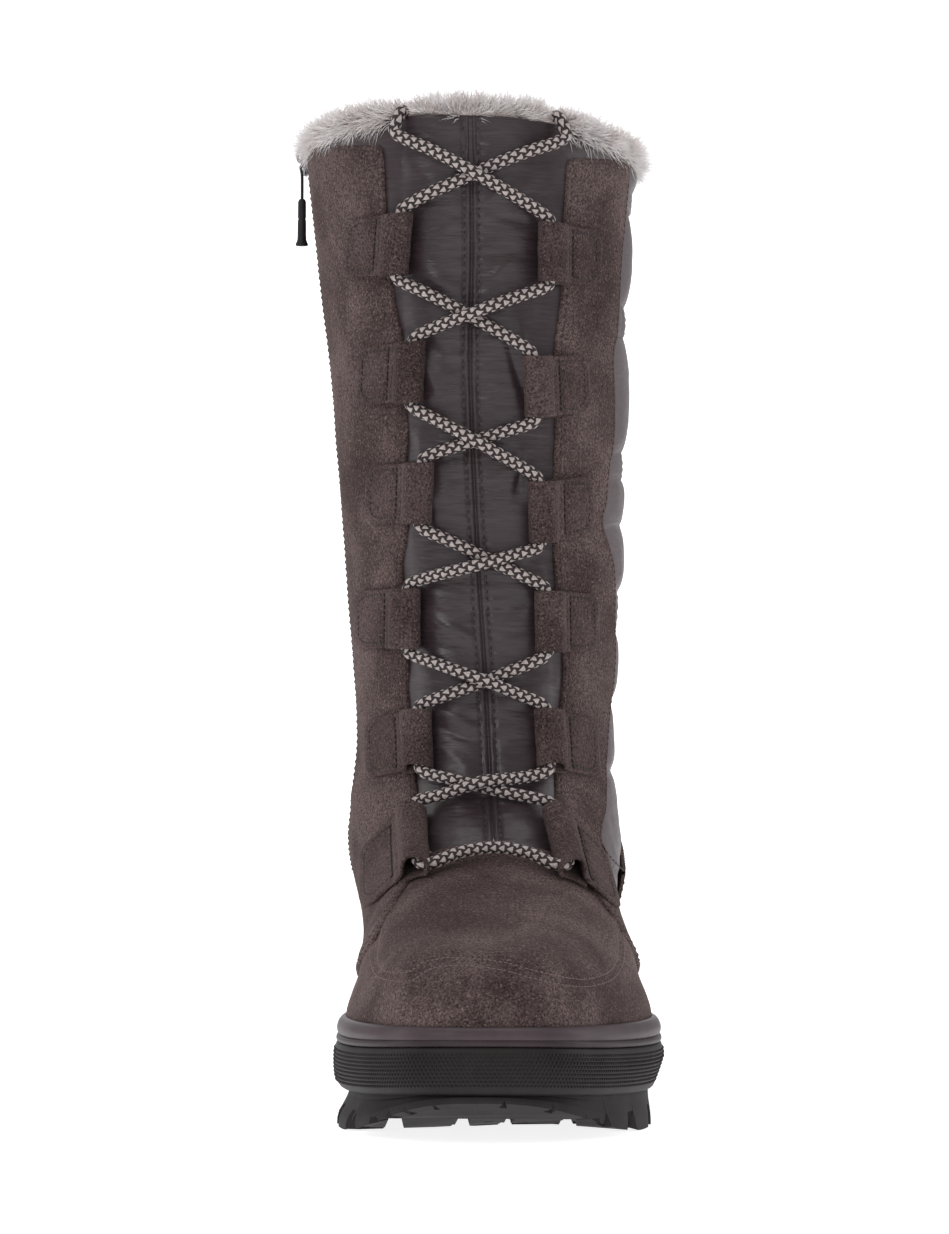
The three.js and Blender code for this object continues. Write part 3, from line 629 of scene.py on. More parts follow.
def moulded_rubber(name, base, dust, roughness, grain):
    """Vulcanised rubber from a mould: even and nearly matt, with a faint bloom and a fine eroded grain."""
    made, tree, shader, place = material(name)
    bloom = add(tree, "ShaderNodeTexNoise",
        {"Vector": place, "Scale": across(14), "Detail": 5.0, "Roughness": 0.6})
    bloom = add(tree, "ShaderNodeMapRange", {0: bloom.outputs["Fac"], 1: 0.4, 2: 0.72})
    ground = add(tree, "ShaderNodeMix", {0: bloom.outputs[0], 6: colour(base), 7: colour(dust)},
        data_type="RGBA")
    tree.links.new(ground.outputs[2], shader["Base Color"])
    eroded = add(tree, "ShaderNodeTexNoise", {"Vector": place, "Scale": across(grain), "Detail": 2.0})
    gloss = add(tree, "ShaderNodeMapRange",
        {0: eroded.outputs["Fac"], 3: roughness - 0.06, 4: roughness + 0.06})
    tree.links.new(gloss.outputs[0], shader["Roughness"])
    bump = add(tree, "ShaderNodeBump", {"Height": eroded.outputs["Fac"], "Strength": 0.2, "Distance": 0.0002})
    tree.links.new(bump.outputs[0], shader["Normal"])
    shader["IOR"].default_value = 1.52
    shader["Specular IOR Level"].default_value = 0.2
    return made


def pile(name, shaded_root, tip, smoke):
    """Sheared rabbit-like acrylic pile: pale fine hair, darker towards its roots as painted shade between the
    hairs, with smoky clumps.
    """
    made, tree, shader, place = material(name)
    along = add(tree, "ShaderNodeAttribute", attribute_name="height")
    clumps = add(tree, "ShaderNodeTexNoise",
        {"Vector": place, "Scale": across(13), "Detail": 3.0, "Distortion": 0.5})
    smoky = add(tree, "ShaderNodeMapRange", {0: clumps.outputs["Fac"], 1: 0.44, 2: 0.72, 4: 0.8})
    # the hair darkens from tip to root: painted shade between the hairs
    base = add(tree, "ShaderNodeMix", {0: along.outputs["Fac"], 6: colour(shaded_root), 7: colour(tip)},
        data_type="RGBA")
    hair = add(tree, "ShaderNodeMix", {0: smoky.outputs[0], 6: base.outputs[2], 7: colour(smoke)},
        data_type="RGBA")
    tree.links.new(hair.outputs[2], shader["Base Color"])
    shader["Roughness"].default_value = 0.75
    shader["Sheen Weight"].default_value = 0.3
    shader["Sheen Roughness"].default_value = 0.4
    return made


def fleece(name, deep, pale):
    """Knitted-back fleece: a soft matt pile in small curls."""
    made, tree, shader, place = material(name)
    curls = add(tree, "ShaderNodeTexNoise",
        {"Vector": place, "Scale": across(3.2), "Detail": 4.0, "Roughness": 0.7})
    tint = add(tree, "ShaderNodeMapRange", {0: curls.outputs["Fac"], 1: 0.3, 2: 0.7})
    ground = add(tree, "ShaderNodeMix", {0: tint.outputs[0], 6: colour(deep), 7: colour(pale)},
        data_type="RGBA")
    tree.links.new(ground.outputs[2], shader["Base Color"])
    bump = add(tree, "ShaderNodeBump", {"Height": curls.outputs["Fac"], "Strength": 0.8, "Distance": 0.0012})
    tree.links.new(bump.outputs[0], shader["Normal"])
    shader["Roughness"].default_value = 0.95
    shader["Sheen Weight"].default_value = 0.4
    return made


def braid(name, dark, light):
    """Braided polyester cord: three rows of pale flecks show at a time, with dark yarn in a V between them.
    It follows the cord's own UV map: U round the cord and V along it in centimetres."""
    made, tree, shader, _ = material(name)
    uv = add(tree, "ShaderNodeSeparateXYZ", {0: add(tree, "ShaderNodeTexCoord").outputs["UV"]})
    rows = add(tree, "ShaderNodeMath", {0: uv.outputs[0], 1: BRAID_ROWS}, operation="MULTIPLY")
    odd = add(tree, "ShaderNodeMath",
        {0: add(tree, "ShaderNodeMath", {0: rows.outputs[0]}, operation="FLOOR").outputs[0],
                                       1: 2.0}, operation="MODULO")
    steps = add(tree, "ShaderNodeMath", {0: uv.outputs[1], 1: 10 / BRAID_STEP}, operation="MULTIPLY")
    stagger = add(tree, "ShaderNodeMath", {0: odd.outputs[0], 1: 0.5, 2: steps.outputs[0]},
        operation="MULTIPLY_ADD")
    u = add(tree, "ShaderNodeMath", {0: rows.outputs[0]}, operation="FRACT")
    v = add(tree, "ShaderNodeMath", {0: stagger.outputs[0]}, operation="FRACT")
    u = add(tree, "ShaderNodeMath", {0: u.outputs[0], 1: 0.5}, operation="SUBTRACT")
    v = add(tree, "ShaderNodeMath", {0: v.outputs[0], 1: 0.5}, operation="SUBTRACT")
    u = add(tree, "ShaderNodeMath", {0: u.outputs[0]}, operation="ABSOLUTE")
    leaning = add(tree, "ShaderNodeMath", {0: u.outputs[0], 1: -0.55, 2: v.outputs[0]},
        operation="MULTIPLY_ADD")
    v = add(tree, "ShaderNodeMath", {0: leaning.outputs[0], 1: 0.12}, operation="ADD")
    v = add(tree, "ShaderNodeMath", {0: v.outputs[0]}, operation="ABSOLUTE")
    far = add(tree, "ShaderNodeMath", {0: u.outputs[0], 1: 0.62, 2: v.outputs[0]}, operation="MULTIPLY_ADD")
    fleck = add(tree, "ShaderNodeMapRange", {0: far.outputs[0], 1: 0.39, 2: 0.33})
    yarn = add(tree, "ShaderNodeTexNoise", {"Vector": add(tree, "ShaderNodeTexCoord").outputs["Object"],
                                            "Scale": across(0.6), "Detail": 2.0})
    worn = add(tree, "ShaderNodeMapRange", {0: yarn.outputs["Fac"], 1: 0.3, 2: 0.7, 3: 0.72, 4: 1.15})
    mixed = add(tree, "ShaderNodeMix", {0: fleck.outputs[0], 6: colour(dark), 7: colour(light)},
        data_type="RGBA")
    shaded = add(tree, "ShaderNodeVectorMath", {0: mixed.outputs[2], "Scale": worn.outputs[0]},
        operation="SCALE")
    tree.links.new(shaded.outputs[0], shader["Base Color"])
    bump = add(tree, "ShaderNodeBump", {"Height": yarn.outputs["Fac"], "Strength": 0.4, "Distance": 0.0003})
    tree.links.new(bump.outputs[0], shader["Normal"])
    shader["Roughness"].default_value = 0.8
    return made


def thread(name, code):
    """Bonded polyester sewing thread, twisted: a slight shine with a spiral too fine to show but as a soft
    streak."""
    made, tree, shader, place = material(name)
    fibres = add(tree, "ShaderNodeTexNoise", {"Vector": place, "Scale": across(0.5), "Detail": 1.0})
    worn = add(tree, "ShaderNodeMapRange", {0: fibres.outputs["Fac"], 3: 0.75, 4: 1.2})
    shaded = add(tree, "ShaderNodeVectorMath", {0: colour(code)[:3], "Scale": worn.outputs[0]},
        operation="SCALE")
    tree.links.new(shaded.outputs[0], shader["Base Color"])
    shader["Roughness"].default_value = 0.6
    return made


def plated(name, base, roughness):
    """Die-cast zinc with a dark nickel plating, tumbled: a soft metal shine with fine wear."""
    made, tree, shader, place = material(name)
    wear = add(tree, "ShaderNodeTexNoise", {"Vector": place, "Scale": across(1.5), "Detail": 3.0})
    gloss = add(tree, "ShaderNodeMapRange", {0: wear.outputs["Fac"], 3: roughness - 0.1, 4: roughness + 0.1})
    tree.links.new(gloss.outputs[0], shader["Roughness"])
    shader["Base Color"].default_value = colour(base)
    shader["Metallic"].default_value = 1.0
    return made


BRAID_ROWS, BRAID_STEP = 6, 3.1  # rows of flecks round the lace, and millimetres from fleck to fleck

SUEDE = suede("brushed_split_suede", "#3b2f2e", "#5e504e", "#927f7b")
LOOP_SUEDE = suede("suede_for_loops", "#3a2f2e", "#504342", "#867471")
NYLON = nylon("satin_nylon", "#2c2124", "#3a2e32", 0.36)
SHELL_NYLON = nylon("quilted_nylon", "#463a3d", "#524549", 0.5)
BAND_RUBBER = moulded_rubber("black_brown_rubber", "#1e1a1b", "#282324", 0.55, 0.4)
LIP_RUBBER = moulded_rubber("smooth_lip_rubber", "#302629", "#3a3034", 0.45, 0.4)
BEAD_RUBBER = moulded_rubber("taupe_rubber", "#43383c", "#4f4347", 0.45, 0.5)
TREAD_RUBBER = moulded_rubber("tread_rubber", "#211d1f", "#2f2a2c", 0.7, 0.9)
# the fur's bed takes darker colours than the hair tips: painted shade in the gaps between the hairs
SHADED_FUR_BED = pile("shaded_fur_ground", "#bcb0ab", "#d0c5c1", "#aca09b")
# the first colour, at the roots, is painted shade between the hairs
FUR = pile("pale_fur", "#d3c8c5", "#fdfafa", "#d9cdca")
LINING = fleece("lining_fleece", "#a99b95", "#d6cac5")
FELT = fleece("wool_felt", "#9d918b", "#c4b8b2")
LACE = braid("braided_cord", "#2b2021", "#b3a8a6")
DARK_THREAD = thread("dark_thread", "#241b1d")
BROWN_THREAD = thread("brown_thread", "#3c2f30")
PALE_THREAD = thread("pale_thread", "#7b6866")
TEETH = moulded_rubber("zip_coil_nylon", "#2c2a33", "#3d3b45", 0.42, 0.5)
TAPE = fleece("zip_tape_cloth", "#221d20", "#332c30")
PLATED = plated("dark_nickel", "#8a878c", 0.32)
GRIP = moulded_rubber("zip_grip_rubber", "#232024", "#2e2a2e", 0.5, 0.5)


# ------------------------------------------------------------------------------- edges of the upper's panels

DEGREE = math.pi / 180
ZIP_TURN = ZIP_ANGLE - 2 * math.pi


def table(rows, x):
    """A smooth curve through rows of (place, value)."""
    rows = np.array(sorted(rows), float)
    return smooth_curve(rows[:, 0], rows[:, 1], x)


def per_radian(angle, z):
    """Millimetres round the boot for each radian."""
    return np.linalg.norm(skin(angle + 5e-3, z) - skin(angle - 5e-3, z), axis=-1) / 1e-2


def throat(z, side):
    """Angle of a facing's edge beside the front panel."""
    reach = smooth_curve(THROAT["z"], THROAT["inner" if side < 0 else "outer"], z)
    return angle_at(seam(z) + side * reach, z)


def zip_side(z, side, half=ZIP["half"]):
    return ZIP_TURN + side * half / per_radian(ZIP_TURN, z)


# Height of the vamp seam by degrees from the toe, on either side.
VAMP_SEAM = {
    -1: ((20, 92), (32.3, 81), (50.8, 64), (60.4, 55), (66, 49.5), (80, 44.5), (100, 40.5), (115, 39)),
    1: ((24, 93), (38.9, 81), (60.3, 64), (66, 56), (71, 49.5), (84, 44.5), (100, 40.5), (118, 39)),
}
# Back edge of the outer facing and of the quarter below it, in degrees by height.
FACING_BACK = (
    (38, 112), (55, 103), (70, 95), (77, 87), (81, 71), (85.5, 60.5), (91, 55.5), (102, 61), (112, 65),
    (129, 69.5), (144, 75), (162, 71), (181, 66.9), (190, 60.4), (197, 54.5), (205, 57.2), (217, 58.3),
    (223, 62), (234, 62.7), (256, 61.4), (265, 64.7), (320, 69.4), (336, 70),
)
COUNTER_TOP = ((86, 76), (90, 79), (104, 90), (125, 97), (180, 100), (235, 96), (268, 93))
FACING_TOP = {
    -1: ((40, 325.6), (50, 327.6), (62, 330.8), (80, 336.2), (95, 337.2)),
    1: ((35, 323.6), (52, 327.6), (72, 332.6)),
}
FACING_CORNER = 3.6


def vamp_seam(angle, side):
    return table(VAMP_SEAM[side], np.abs(angle) / DEGREE)


def facing_top(angle, side):
    """The upper edge of a facing, rounded down to its edge at the throat."""
    top = table(FACING_TOP[side], np.abs(angle) / DEGREE)
    inside = (np.abs(angle) - np.abs(throat(top, side))) * per_radian(angle, top)
    short = np.clip(FACING_CORNER - inside, 0, FACING_CORNER)
    return top - FACING_CORNER + np.sqrt(np.maximum(FACING_CORNER**2 - short**2, 0))


def facing_back(z):
    return table(FACING_BACK, z) * DEGREE


def counter_top(angle):
    return table(COUNTER_TOP, angle / DEGREE)


def inner_back(z):
    """The inner facing ends at the zip, and below the zip runs back under the heel counter."""
    return zip_side(z, 1) - 6 * DEGREE * np.clip((76 - z) / 38, 0, 1)


def near_segment(x, y, row):
    """Distance from a straight line between two places, and the share of the way along it."""
    x0, y0, x1, y1 = row
    dx, dy = x1 - x0, y1 - y0
    t = np.clip(((x - x0) * dx + (y - y0) * dy) / (dx * dx + dy * dy), 0, 1)
    return np.hypot(x - x0 - t * dx, y - y0 - t * dy), t


def folds(x, z, rows):
    """Soft ridges and troughs along straight lines: each row is x, z, x, z, width and height in
    millimetres."""
    total = np.zeros(np.broadcast(x, z).shape)
    for *line, width, height in rows:
        away, t = near_segment(x, z, line)
        total += height * bell(away, width) * np.sin(np.pi * np.clip(t * 0.9 + 0.05, 0, 1)) ** 0.6
    return total


def panel(left, right, foot, top, out, thickness, size, edge=1.1, steps=2.0):
    """A panel of the upper between side edges that depend on height and a foot and top that depend on angle.
    Gives its body with rounded edges, and the (u, v) to (angle, z) grid it was made from."""
    columns, rows = (max(8, int(length / steps)) for length in size)
    u, v = np.meshgrid(spread(columns, size[0]), spread(rows, size[1]))
    z = np.full(u.shape, 100.0) + v * 150
    for _ in range(30):
        angle = left(z) + (right(z) - left(z)) * u
        z = 0.5 * z + 0.5 * (foot(angle) + (top(angle) - foot(angle)) * v)
    wide = (right(z) - left(z)) * per_radian(angle, z)
    tall = np.linalg.norm(skin(angle, top(angle)) - skin(angle, foot(angle)), axis=-1)
    inside = np.minimum(np.minimum(u, 1 - u) * wide, np.minimum(v, 1 - v) * tall)
    level = out(angle, z)
    outer = surface(angle, z, level - 0.8 * thickness * (1 - rounded(inside, edge)))
    return slab(outer, surface(angle, z, level - thickness)), angle, z


# ------------------------------------------------------------------------------------------------ the upper

LEVEL = {"lining": -2.6, "front": -1.3, "quilt": -2.4, "facing": 0.0, "counter": 0.4}
RADIUS = 45.0  # turns degrees into millimetres for folds and puckers

SUEDE_FOLDS = (  # the inner facing, as degrees x RADIUS and height
    (-62, 292, -48, 306, 3.4, -0.7), (-66, 262, -50, 246, 5, -0.8), (-68, 205, -46, 226, 5, 0.7),
    (-70, 190, -52, 182, 4, -0.9), (-66, 150, -44, 146, 5, -0.8), (-66, 138, -48, 134, 4.5, 0.6),
    (-68, 122, -56, 112, 5, -1.1), (-72, 104, -52, 100, 5, 0.9), (-64, 90, -50, 84, 4.5, -0.8),
)
OUTER_FOLDS = (
    (44, 252, 38, 268, 4, -0.7), (38, 222, 46, 214, 3.5, 0.8), (30, 186, 46, 178, 4, 0.9),
    (34, 172, 50, 168, 3, -0.8), (36, 146, 52, 138, 4, -0.7), (40, 120, 52, 112, 4.5, -0.9),
    (36, 104, 48, 98, 4, 0.8), (38, 78, 56, 66, 4, -0.6),
)
VAMP_FOLDS = (  # x and height
    (-30, 44, -24, 52, 7, -1.3), (30, 46, 24, 54, 8, -0.9), (-6, 46, 6, 52, 9, 0.6),
    (-30, 66, -14, 74, 6, 0.5), (14, 76, 34, 66, 6, -0.5), (-34, 58, -12, 56, 4, 0.5),
    (-2, 60, 30, 57, 5, 0.45), (-16, 83, 16, 83, 4, -0.5),
)
APRON = np.array([(-38, 63.5), (-39.5, 54.5), (-37.4, 50.2), (-30, 49.9), (-23.4, 52.9), (-14, 54),
    (-5, 53.3),
                  (5.5, 51.1), (15, 49), (28, 48), (36.4, 50), (40.3, 54.5), (41.3, 61)], float)


def smooth_line(points, step=1.0):
    """A rounded line through given points."""
    points = np.asarray(points, float)
    run = np.concatenate([[0], np.cumsum(np.linalg.norm(np.diff(points, axis=0), axis=1))])
    at = np.linspace(0, run[-1], max(2, int(run[-1] / step)))
    return np.stack([smooth_curve(run, points[:, k], at) for k in range(points.shape[1])], -1)


APRON_LINE = smooth_line(APRON, 1.5)


def suede_level(angle, z, side):
    """The facings lie flush with the last and rise where they lap over the vamp."""
    lap = z - vamp_seam(angle, side)
    raised = 1.15 * (1 - step_between(4, 13, lap)) * (1 - step_between(100, 118, z))
    x = angle * RADIUS
    creased = folds(x, z, SUEDE_FOLDS if side < 0 else OUTER_FOLDS)
    place = skin(angle, z)
    return LEVEL["facing"] + raised + 0.8 * creased + 0.22 * lumps(place, 17, 3) + 0.1 * lumps(place, 6, 4)


def vamp_level(angle, z):
    x = outline(angle, z)[0]
    away = np.full(x.shape, 99.0)
    for point in APRON_LINE:
        away = np.minimum(away, np.hypot(x - point[0], z - point[1]))
    side = np.where(angle < 0, -1, 1)
    lap = np.where(side < 0, vamp_seam(angle, -1), vamp_seam(angle, 1)) - z
    tucked = -1.3 * (1 - step_between(-3, 0.5, lap)) * step_between(30 * DEGREE, 37 * DEGREE, np.abs(angle))
    place = skin(angle, z)
    puckers = 0.16 * lumps(place, 4, 8) * bell(away, 4)
    return (LEVEL["facing"] - 0.55 * bell(away, 1.1) + 0.35 * bell(away - 3.2, 2.2) + puckers + tucked
            + folds(x, z, VAMP_FOLDS) + 0.25 * lumps(place, 20, 5) + 0.09 * lumps(place, 5, 6))


def vamp_top(angle):
    turned = np.abs(angle) / DEGREE
    arch = 90 - 6.2 * (turned / 35) ** 2
    lapped = np.where(angle < 0, vamp_seam(angle, -1), vamp_seam(angle, 1)) + 5
    share = step_between(33, 42, turned)
    return arch * (1 - share) + lapped * share


def flat(value):
    return lambda at: np.full(np.shape(at), float(value))


# Below the first height the facings run on under the counter. Above the second they stop at their edge.
LAP_END = (70, 76)


def upper_pieces():
    """The leather panels from the vamp to the heel counter, and the lining that shows inside."""
    body, _, _ = panel(flat(-112 * DEGREE), flat(114 * DEGREE), flat(UPPER_FOOT), vamp_top, vamp_level, 1.3,
        (250, 60), 1.0, 1.4)
    piece("vamp", body, SUEDE)

    body, _, _ = panel(
        lambda z: inner_back(z) - 5 * DEGREE * (1 - step_between(*LAP_END, z)),
        lambda z: throat(z, -1),
        lambda a: vamp_seam(a, -1),
        lambda a: facing_top(a, -1),
        lambda a, z: suede_level(a, z, -1), 1.35, (50, 260), steps=1.6,
    )
    piece("facing_inner", body, SUEDE)

    body, _, _ = panel(
        lambda z: throat(z, 1),
        lambda z: facing_back(z) + 5 * DEGREE * (1 - step_between(*LAP_END, z)),
        lambda a: vamp_seam(a, 1),
        lambda a: facing_top(a, 1),
        lambda a, z: suede_level(a, z, 1), 1.35, (36, 260), steps=1.5,
    )
    piece("facing_outer", body, SUEDE)

    body, _, _ = panel(
        lambda z: facing_back(z),
        lambda z: 2 * math.pi + inner_back(z) - 9 * DEGREE * step_between(*LAP_END, z),
        flat(UPPER_FOOT), counter_top,
        lambda a, z: LEVEL["counter"] + 0.25 * lumps(skin(a, z), 18, 9) + 0.08 * lumps(skin(a, z), 5, 10),
        1.3, (150, 60), steps=1.8,
    )
    piece("heel_counter", body, SUEDE)

    angle, z = np.meshgrid(np.linspace(0, 2 * math.pi, 120, endpoint=False), np.linspace(21.5, 333.4, 60))
    nap = 0.35 * lumps(skin(angle, z), 5, 11)
    behind_quilt = 1.2 * step_between(48 * DEGREE, 56 * DEGREE, angle)
    behind_quilt = behind_quilt * (1 - step_between(262 * DEGREE, 266 * DEGREE, angle))
    body = slab(surface(angle, z, LEVEL["lining"] - behind_quilt), surface(angle, z, 0.2 - WALL + nap),
        closed=True)
    piece("lining", body, LINING, ["upper"])


# Stitched lines across the outer quarter, from the collar down, with how far each wave between them stands
# out.
QUILT_SEAMS = (323, 313, 276, 264, 222, 213, 197, 174, 160, 136, 113)
QUILT_RISE = (0.8, 2.8, 0.9, 2.9, 0.8, 1.6, 2.7, 0.9, 2.8, 2.6)
SHAFT_RADIUS = 52  # about, to turn angles round the shaft into millimetres
BACK_DIP = 7.0  # the lines sink towards the middle of the back


def quilt_shift(angle):
    return BACK_DIP * (np.cos(2 * (angle - math.pi / 2)) - 1) / 2


def quilt_level(angle, z):
    flat_z = z - quilt_shift(angle)
    place = skin(angle, z)
    rise = np.zeros(z.shape)
    for above, below, height in zip(QUILT_SEAMS, QUILT_SEAMS[1:], QUILT_RISE):
        t = np.clip((flat_z - below) / (above - below), 0, 1)
        near = np.minimum(t, 1 - t) * (above - below)
        pleats = lumps(np.stack([angle * 60, flat_z * 0.16, place[..., 0] * 0], -1), 5.5, above)
        pleats = pleats * bell(near, 7)
        sag = np.where(height > 2, 0.9 + 0.35 * (0.5 - t), 1.0)
        wave = (1 - np.abs(2 * t - 1) ** 2.6) ** 0.75
        rise += np.where((t > 0) & (t < 1),
            height * sag * wave * (1 + 0.12 * lumps(place, 16, above)) + 0.3 * pleats, 0)
        if height < 1.5:
            rise += np.where((t > 0) & (t < 1), 0.35 * np.sin(np.pi * t * 4) ** 2, 0)
    away = np.minimum((angle - facing_back(z)), (2 * math.pi + zip_side(z, -1) - angle)) * SHAFT_RADIUS
    away = np.minimum(away, z - counter_top(angle) + 1)
    smooth_part = 1.2 * rounded(z - counter_top(angle), 12) * (1 - step_between(108, 114, flat_z))
    smooth_part = smooth_part * (1 + 0.4 * lumps(place, 9, 40))
    return LEVEL["quilt"] + (rise + smooth_part) * rounded(away, 11) + 0.12 * lumps(place, 3.5, 41)


def quilt_pieces():
    """Padded nylon from behind the outer facing round the back to the zip."""
    columns, rows = 140, 220
    u, v = np.meshgrid(np.linspace(0, 1, columns), np.linspace(0, 1, rows))
    z = 68 + (330 - 68) * v
    start = np.maximum(np.minimum(facing_back(z), 66 * DEGREE) - 7 * DEGREE, 46 * DEGREE)
    angle = start + (2 * math.pi + zip_side(z, -1) + 0.5 * DEGREE - start) * u
    outer = surface(angle, z, quilt_level(angle, z))
    made = mesh_object("quilted_quarter", slab(outer, surface(angle, z, LEVEL["quilt"] - 1.0)), SHELL_NYLON)
    settle(made)

    angle, z = np.meshgrid(np.linspace(0, 2 * math.pi, 160, endpoint=False),
        np.linspace(314, COLLAR_HEIGHT, 22))
    t = (z - 322) / (COLLAR_HEIGHT - 322)
    side = step_between(30 * DEGREE, 60 * DEGREE, np.abs(np.mod(angle + math.pi, 2 * math.pi) - math.pi))
    bulge = side * np.clip(1 - (2 * t - 1) ** 2, 0, 1) * 1.2
    hem = -1.1 * (1 - rounded(COLLAR_HEIGHT - z, 1.2))
    bulge = bulge + 0.15 * lumps(np.stack([angle * 60, z * 0.3, z * 0], -1), 4, 42) * side
    level = LEVEL["front"] - 0.05 + bulge + hem
    body = slab(surface(angle, z, level), surface(angle, z, LEVEL["lining"] - 0.4), closed=True)
    piece("collar_band", body, NYLON)


# Folds of the front panel, from the seam outwards: x, z, x, z, width, height.
FRONT_FOLDS = (
    (-22, 318, -5, 304, 3, 0.5), (20, 312, 6, 306, 2.2, 0.6), (22, 298, 8, 300, 2, -0.5),
    (-20, 262, -6, 250, 2.5, -0.7), (-21, 258, -10, 240, 2, 0.7), (17, 262, 22, 240, 1.8, 0.8),
    (13, 258, 19, 236, 1.5, -0.7), (-18, 226, -14, 196, 2, 0.7), (-20, 222, -8, 216, 2, -0.5),
    (16, 222, 21, 200, 2, 0.9), (19, 220, 14, 206, 1.6, -0.8), (20, 190, 10, 182, 2, 0.5),
    (-19, 166, -4, 158, 2, 0.7), (-20, 158, -3, 150, 2.2, -0.6), (-19, 176, -10, 168, 2, 0.5),
    (18, 172, 6, 166, 2, -0.5), (20, 158, 5, 156, 2, 0.6), (-22, 136, -5, 128, 1.8, 0.7),
    (-22, 130, -4, 123, 1.5, -0.6), (22, 140, 5, 140, 1.6, 0.5), (22, 133, 8, 134, 1.6, -0.5),
    (-18, 122, -6, 114, 2, 0.5), (20, 122, 9, 118, 2, -0.4), (-14, 104, -5, 98, 3, 0.4),
    (15, 105, 5, 98, 3, 0.4), (-20, 204, -8, 206, 2.2, 0.4), (-17, 282, -7, 276, 2.5, 0.5),
    (17, 286, 7, 280, 2.5, 0.5),
)


def front_level(across_seam, z):
    """The front panel: a sharp seam between two stitched ridges, gathers beside them, and folds drawn by
    the loops."""
    away = np.abs(across_seam)
    seam_line = -0.75 * bell(away, 0.42) + 0.5 * bell(away - 1.2, 0.75) - 0.42 * bell(away - 2.5, 0.5)
    beside = bell(np.maximum(away - 2.6, 0), 6.5) * (away > 1.6)
    spots = np.stack([across_seam * 0.22, z, z * 0], -1)
    gathers = 0.42 * beside * lumps(spots, 2.6, 50) + 0.2 * beside * lumps(spots, 1.3, 51)
    ballooned = 1.15 * np.clip(1 - ((away - 12.5) / 11.5) ** 2, 0, 1)
    soft = np.stack([across_seam, z, z * 0], -1)
    tucked = -1.8 * (1 - step_between(87, 95, z))
    return (LEVEL["front"] + tucked + seam_line + gathers + ballooned + 1.5
        * folds(across_seam, z, FRONT_FOLDS)
            + 0.3 * lumps(soft, 11, 52) + 0.12 * lumps(soft, 4, 53))


def front_panel():
    z = np.linspace(79, COLLAR_HEIGHT - 0.4, 280)[:, None]
    u = np.linspace(-1, 1, 81)[None, :]
    u = np.sign(u) * (0.35 * np.abs(u) + 0.65 * np.abs(u) ** 1.8)
    reach = np.where(u < 0, smooth_curve(THROAT["z"], THROAT["inner"], z),
        smooth_curve(THROAT["z"], THROAT["outer"], z))
    beside = u * (reach + 6)
    z = z + 0 * u
    hem = -0.9 * (1 - rounded(COLLAR_HEIGHT - z, 1.5))
    outer = on_front(seam(z) + beside, z, front_level(beside, z) + hem)
    inner = on_front(seam(z) + beside, z, np.full(z.shape, LEVEL["lining"] - 0.4))
    made = mesh_object("front_panel", slab(outer, inner), NYLON)
    settle(made, ["tongue"])


upper_pieces()
quilt_pieces()
front_panel()


# --------------------------------------------------------------------------------------------- the lace loops

# distance past the lace, and height over the facing, from the tail's end round the lace and back
STRAP_PATH = (
    (19, 0.95), (15, 1.0), (10, 1.7), (6.8, 2.15), (5, 3.2), (3.4, 6.0), (1.6, 7.9), (-0.6, 8.2), (-2.6, 6.9),
    (-3.3, 4.6), (-2.9, 2.4), (-1.2, 1.2), (2, 0.9), (6.5, 0.85),
)
STRAP_LEATHER = 1.25
STRAP_SEAM = 11.0  # distance of the cross seam from the tail's end
# By row, from the vamp up, on the inner and outer side: how far the tail's end sinks, and how much the
# roll leans.
STRAP_DROP = {-1: (13, 3.5, 0.6, 0.3, 0.8, -0.6), 1: (13, 3.2, 0.4, -3.2, -2.2, -1.2)}
STRAP_LEAN = {-1: (0, -0.03, 0, 0.02, 0.03, 0.06), 1: (0.2, 0.05, 0.02, 0.03, 0.05, 0.0)}
LACE_STEP = 0.6
LACE_HEIGHT = 4.95  # middle of the lace over the facing, inside a loop


def strap_place(k, side, past, v, height):
    """A point on or over the facing beside a loop: past the lace, up the loop, and out."""
    middle, reach = LOOPS[side][k]
    share = np.clip(np.asarray(past, float), 0, None) / 19
    z = middle + v - STRAP_DROP[side][k] * share**1.4
    x = seam(middle) + side * (reach + past - STRAP_LEAN[side][k] * v)
    z, x, height = np.broadcast_arrays(z, x, height)
    return on_front(x, z, height)


def strap_half(run, total):
    """Half the strap's width by distance from the tail's end: rounded corners, then slightly wider to the
    roll."""
    corner = 4.2
    into = np.clip(corner - run, 0, corner)
    return LOOP_HALF * (0.93 + 0.07 * run / total) - corner + np.sqrt(corner**2 - into**2 + 1e-6)


def strap_body(k, side):
    line = smooth_line(STRAP_PATH, 0.62)
    run = np.concatenate([[0], np.cumsum(np.linalg.norm(np.diff(line, axis=0), axis=1))])
    ahead = unit(np.gradient(line, axis=0))
    normal = np.stack([-ahead[:, 1], ahead[:, 0]], -1)
    t = spread(15, 2 * LOOP_HALF, 1.2, 3) * 2 - 1
    v = t[None, :] * strap_half(run, run[-1])[:, None]
    edge = np.minimum(np.abs(np.abs(t)[None, :] - 1) * LOOP_HALF, run[:, None] + 0.05)
    half = STRAP_LEATHER / 2 * (0.45 + 0.55 * rounded(edge, 0.7))
    spots = np.stack([run[:, None] + 0 * v, v, 0 * v + 40 * k + 7 * side], -1)
    wobble = 0.16 * lumps(spots, 6, 60) + 0.1 * lumps(spots, 2.8, 61)
    pressed = 0.4 * bell(run[:, None] - STRAP_SEAM, 0.7) - 0.3 * bell(run[:, None] - STRAP_SEAM - 2, 0.9)
    sheets = []
    for face in (-1, 1):
        over = face * half + (wobble + pressed if face < 0 else wobble)
        past = line[:, :1] + normal[:, :1] * over
        height = line[:, 1:] + normal[:, 1:] * over
        sheets.append(strap_place(k, side, past, v, height))
    outer, inner = sheets
    body = slab(outer, inner)
    if side > 0:
        return body[0], body[1][:, ::-1]
    return body


